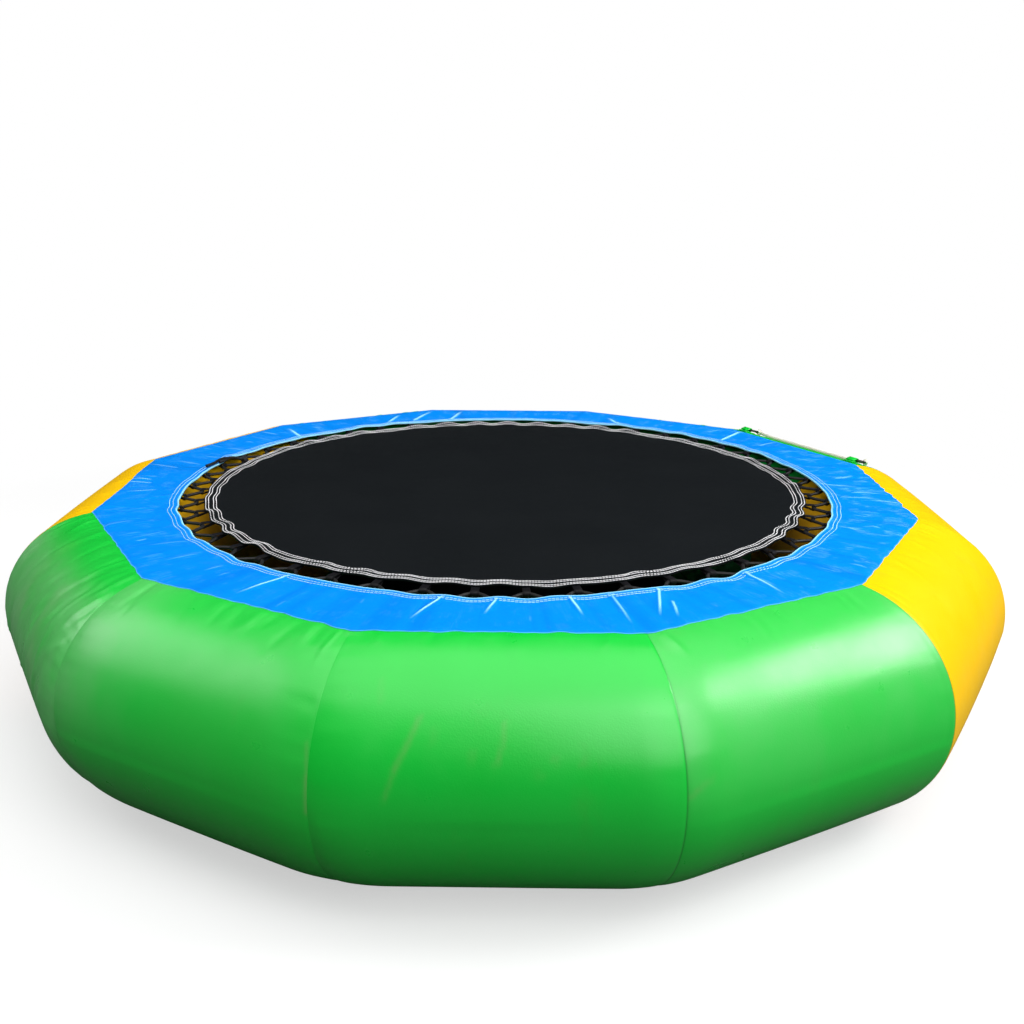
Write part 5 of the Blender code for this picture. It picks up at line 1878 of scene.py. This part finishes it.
# %% Floor
def make_floor():
    """A floor that shows the ring's shadow near it and is plain white further out, with painted shade under
    the mat.
    """
    mesh = bpy.data.meshes.new("floor")
    corners = FLOOR_HALF * np.array([(-1, -1), (1, -1), (1, 1), (-1, 1)])
    mesh.from_pydata([(x, y, FLOOR_DROP) for x, y in corners.tolist()], [], [(0, 1, 2, 3)])
    floor = bpy.data.objects.new("floor", mesh)
    bpy.context.scene.collection.objects.link(floor)
    material, tree, shader = new_material("floor_white", (FLOOR_WHITE,) * 3, 0.9, specular=0.0)
    rays = add_node(tree, "ShaderNodeLightPath")
    seen = rays.outputs["Is Camera Ray"]
    tone = blend_colours(tree, seen, (FLOOR_BOUNCE,) * 3, (FLOOR_WHITE,) * 3)
    distance = vector_math(tree, "LENGTH", {0: object_place(tree)}, "Value")
    # Painted shade under the mat for the camera, paler for the light that it sends back.
    shaded = blend_colours(tree, seen, UNDER_MAT_BOUNCE, UNDER_MAT)
    paint(tree, shader, blend_colours(tree, remap(tree, distance, *UNDER_MAT_REACH, 0.0, 1.0), shaded, tone))
    outside = remap(tree, distance, *UNDER_MAT_REACH, 0.0, SHADOW_EASED)
    far = larger(tree, outside, remap(tree, distance, *SHADOW_REACH, 0.0, 1.0))
    plain = add_node(tree, "ShaderNodeEmission", {"Color": (1.0, 1.0, 1.0, 1.0), "Strength": 1.0})
    share = product(tree, far, seen)
    mix = add_node(tree, "ShaderNodeMixShader", {0: share, 1: shader.outputs[0], 2: plain.outputs[0]})
    tree.links.new(mix.outputs[0], tree.nodes["Material Output"].inputs["Surface"])
    mesh.materials.append(material)


# %% World
def make_world():
    """White to the camera, dim to the surfaces that it lights, and dimmer still in their gloss."""
    world = bpy.data.worlds.new("studio")
    world.use_nodes = True
    tree = world.node_tree
    background = tree.nodes["Background"]
    rays = add_node(tree, "ShaderNodeLightPath")
    strength = remap(tree, rays.outputs["Is Camera Ray"], 0.0, 1.0, STUDIO_LEVEL, 1.0)
    dimmed = remap(tree, rays.outputs["Is Glossy Ray"], 0.0, 1.0, 1.0, STUDIO_GLOSS)
    background.inputs["Color"].default_value = (1.0, 1.0, 1.0, 1.0)
    kept = larger(tree, rays.outputs["Is Camera Ray"], dimmed)
    tree.links.new(product(tree, strength, kept), background.inputs["Strength"])
    bpy.context.scene.world = world


# %% [markdown]
# A square lamp of power P at a distance d shows a colour about as it is written where P is near
# pi squared times d squared. The four lamps share that level between them.

# %% Lamps
def area_lamp(name, direction, distance, size, power):
    """A square lamp that faces the ring's middle from a direction."""
    lamp = bpy.data.lights.new(name, "AREA")
    lamp.shape = "SQUARE"
    lamp.size = size
    lamp.energy = power
    item = bpy.data.objects.new(name, lamp)
    towards = Vector(direction).normalized()
    item.location = towards * distance + Vector((0.0, 0.0, TUBE_RADIUS))
    item.rotation_mode = "QUATERNION"
    item.rotation_quaternion = (-towards).to_track_quat("-Z", "Y")
    bpy.context.scene.collection.objects.link(item)


make_floor()
make_world()
area_lamp("overhead_lamp", (0.0, -0.12, 0.99), 4.2, 4.8, 130.0)
area_lamp("front_lamp", (0.38, -0.68, 0.62), 4.6, 3.3, 105.0)
area_lamp("right_lamp", (0.80, -0.04, 0.60), 4.6, 1.9, 116.0)
area_lamp("left_lamp", (-0.78, 0.0, 0.62), 4.6, 2.6, 54.0)
print("lamps:", len(bpy.data.lights))

# %% [markdown]
# The camera's place, lens, roll and shift were fitted to the corners of the cover in the photograph. It
# aims at the ring's middle on the floor, and the shift moves the picture to the photograph's frame.

# %% Camera
CAMERA_PLACE = (0.0223, -2.2569, 1.0233)
CAMERA_LENS = 38.08
CAMERA_ROLL = math.radians(0.333)
CAMERA_SHIFT = (0.0077, 0.1491)


def make_camera():
    """The photograph's camera: from its place to the middle, with a little roll and shift."""
    camera = bpy.data.cameras.new("photo_camera")
    camera.lens = CAMERA_LENS
    camera.sensor_width = 36.0
    camera.shift_x, camera.shift_y = CAMERA_SHIFT
    item = bpy.data.objects.new("photo_camera", camera)
    item.location = CAMERA_PLACE
    item.rotation_mode = "QUATERNION"
    aim = (-Vector(CAMERA_PLACE)).to_track_quat("-Z", "Y")
    item.rotation_quaternion = aim @ Quaternion((0.0, 0.0, 1.0), CAMERA_ROLL)
    bpy.context.scene.collection.objects.link(item)
    bpy.context.scene.camera = item


make_camera()
print("camera:", CAMERA_LENS, "mm lens at", CAMERA_PLACE)
bpy.context.scene.view_settings.view_transform = "Standard"
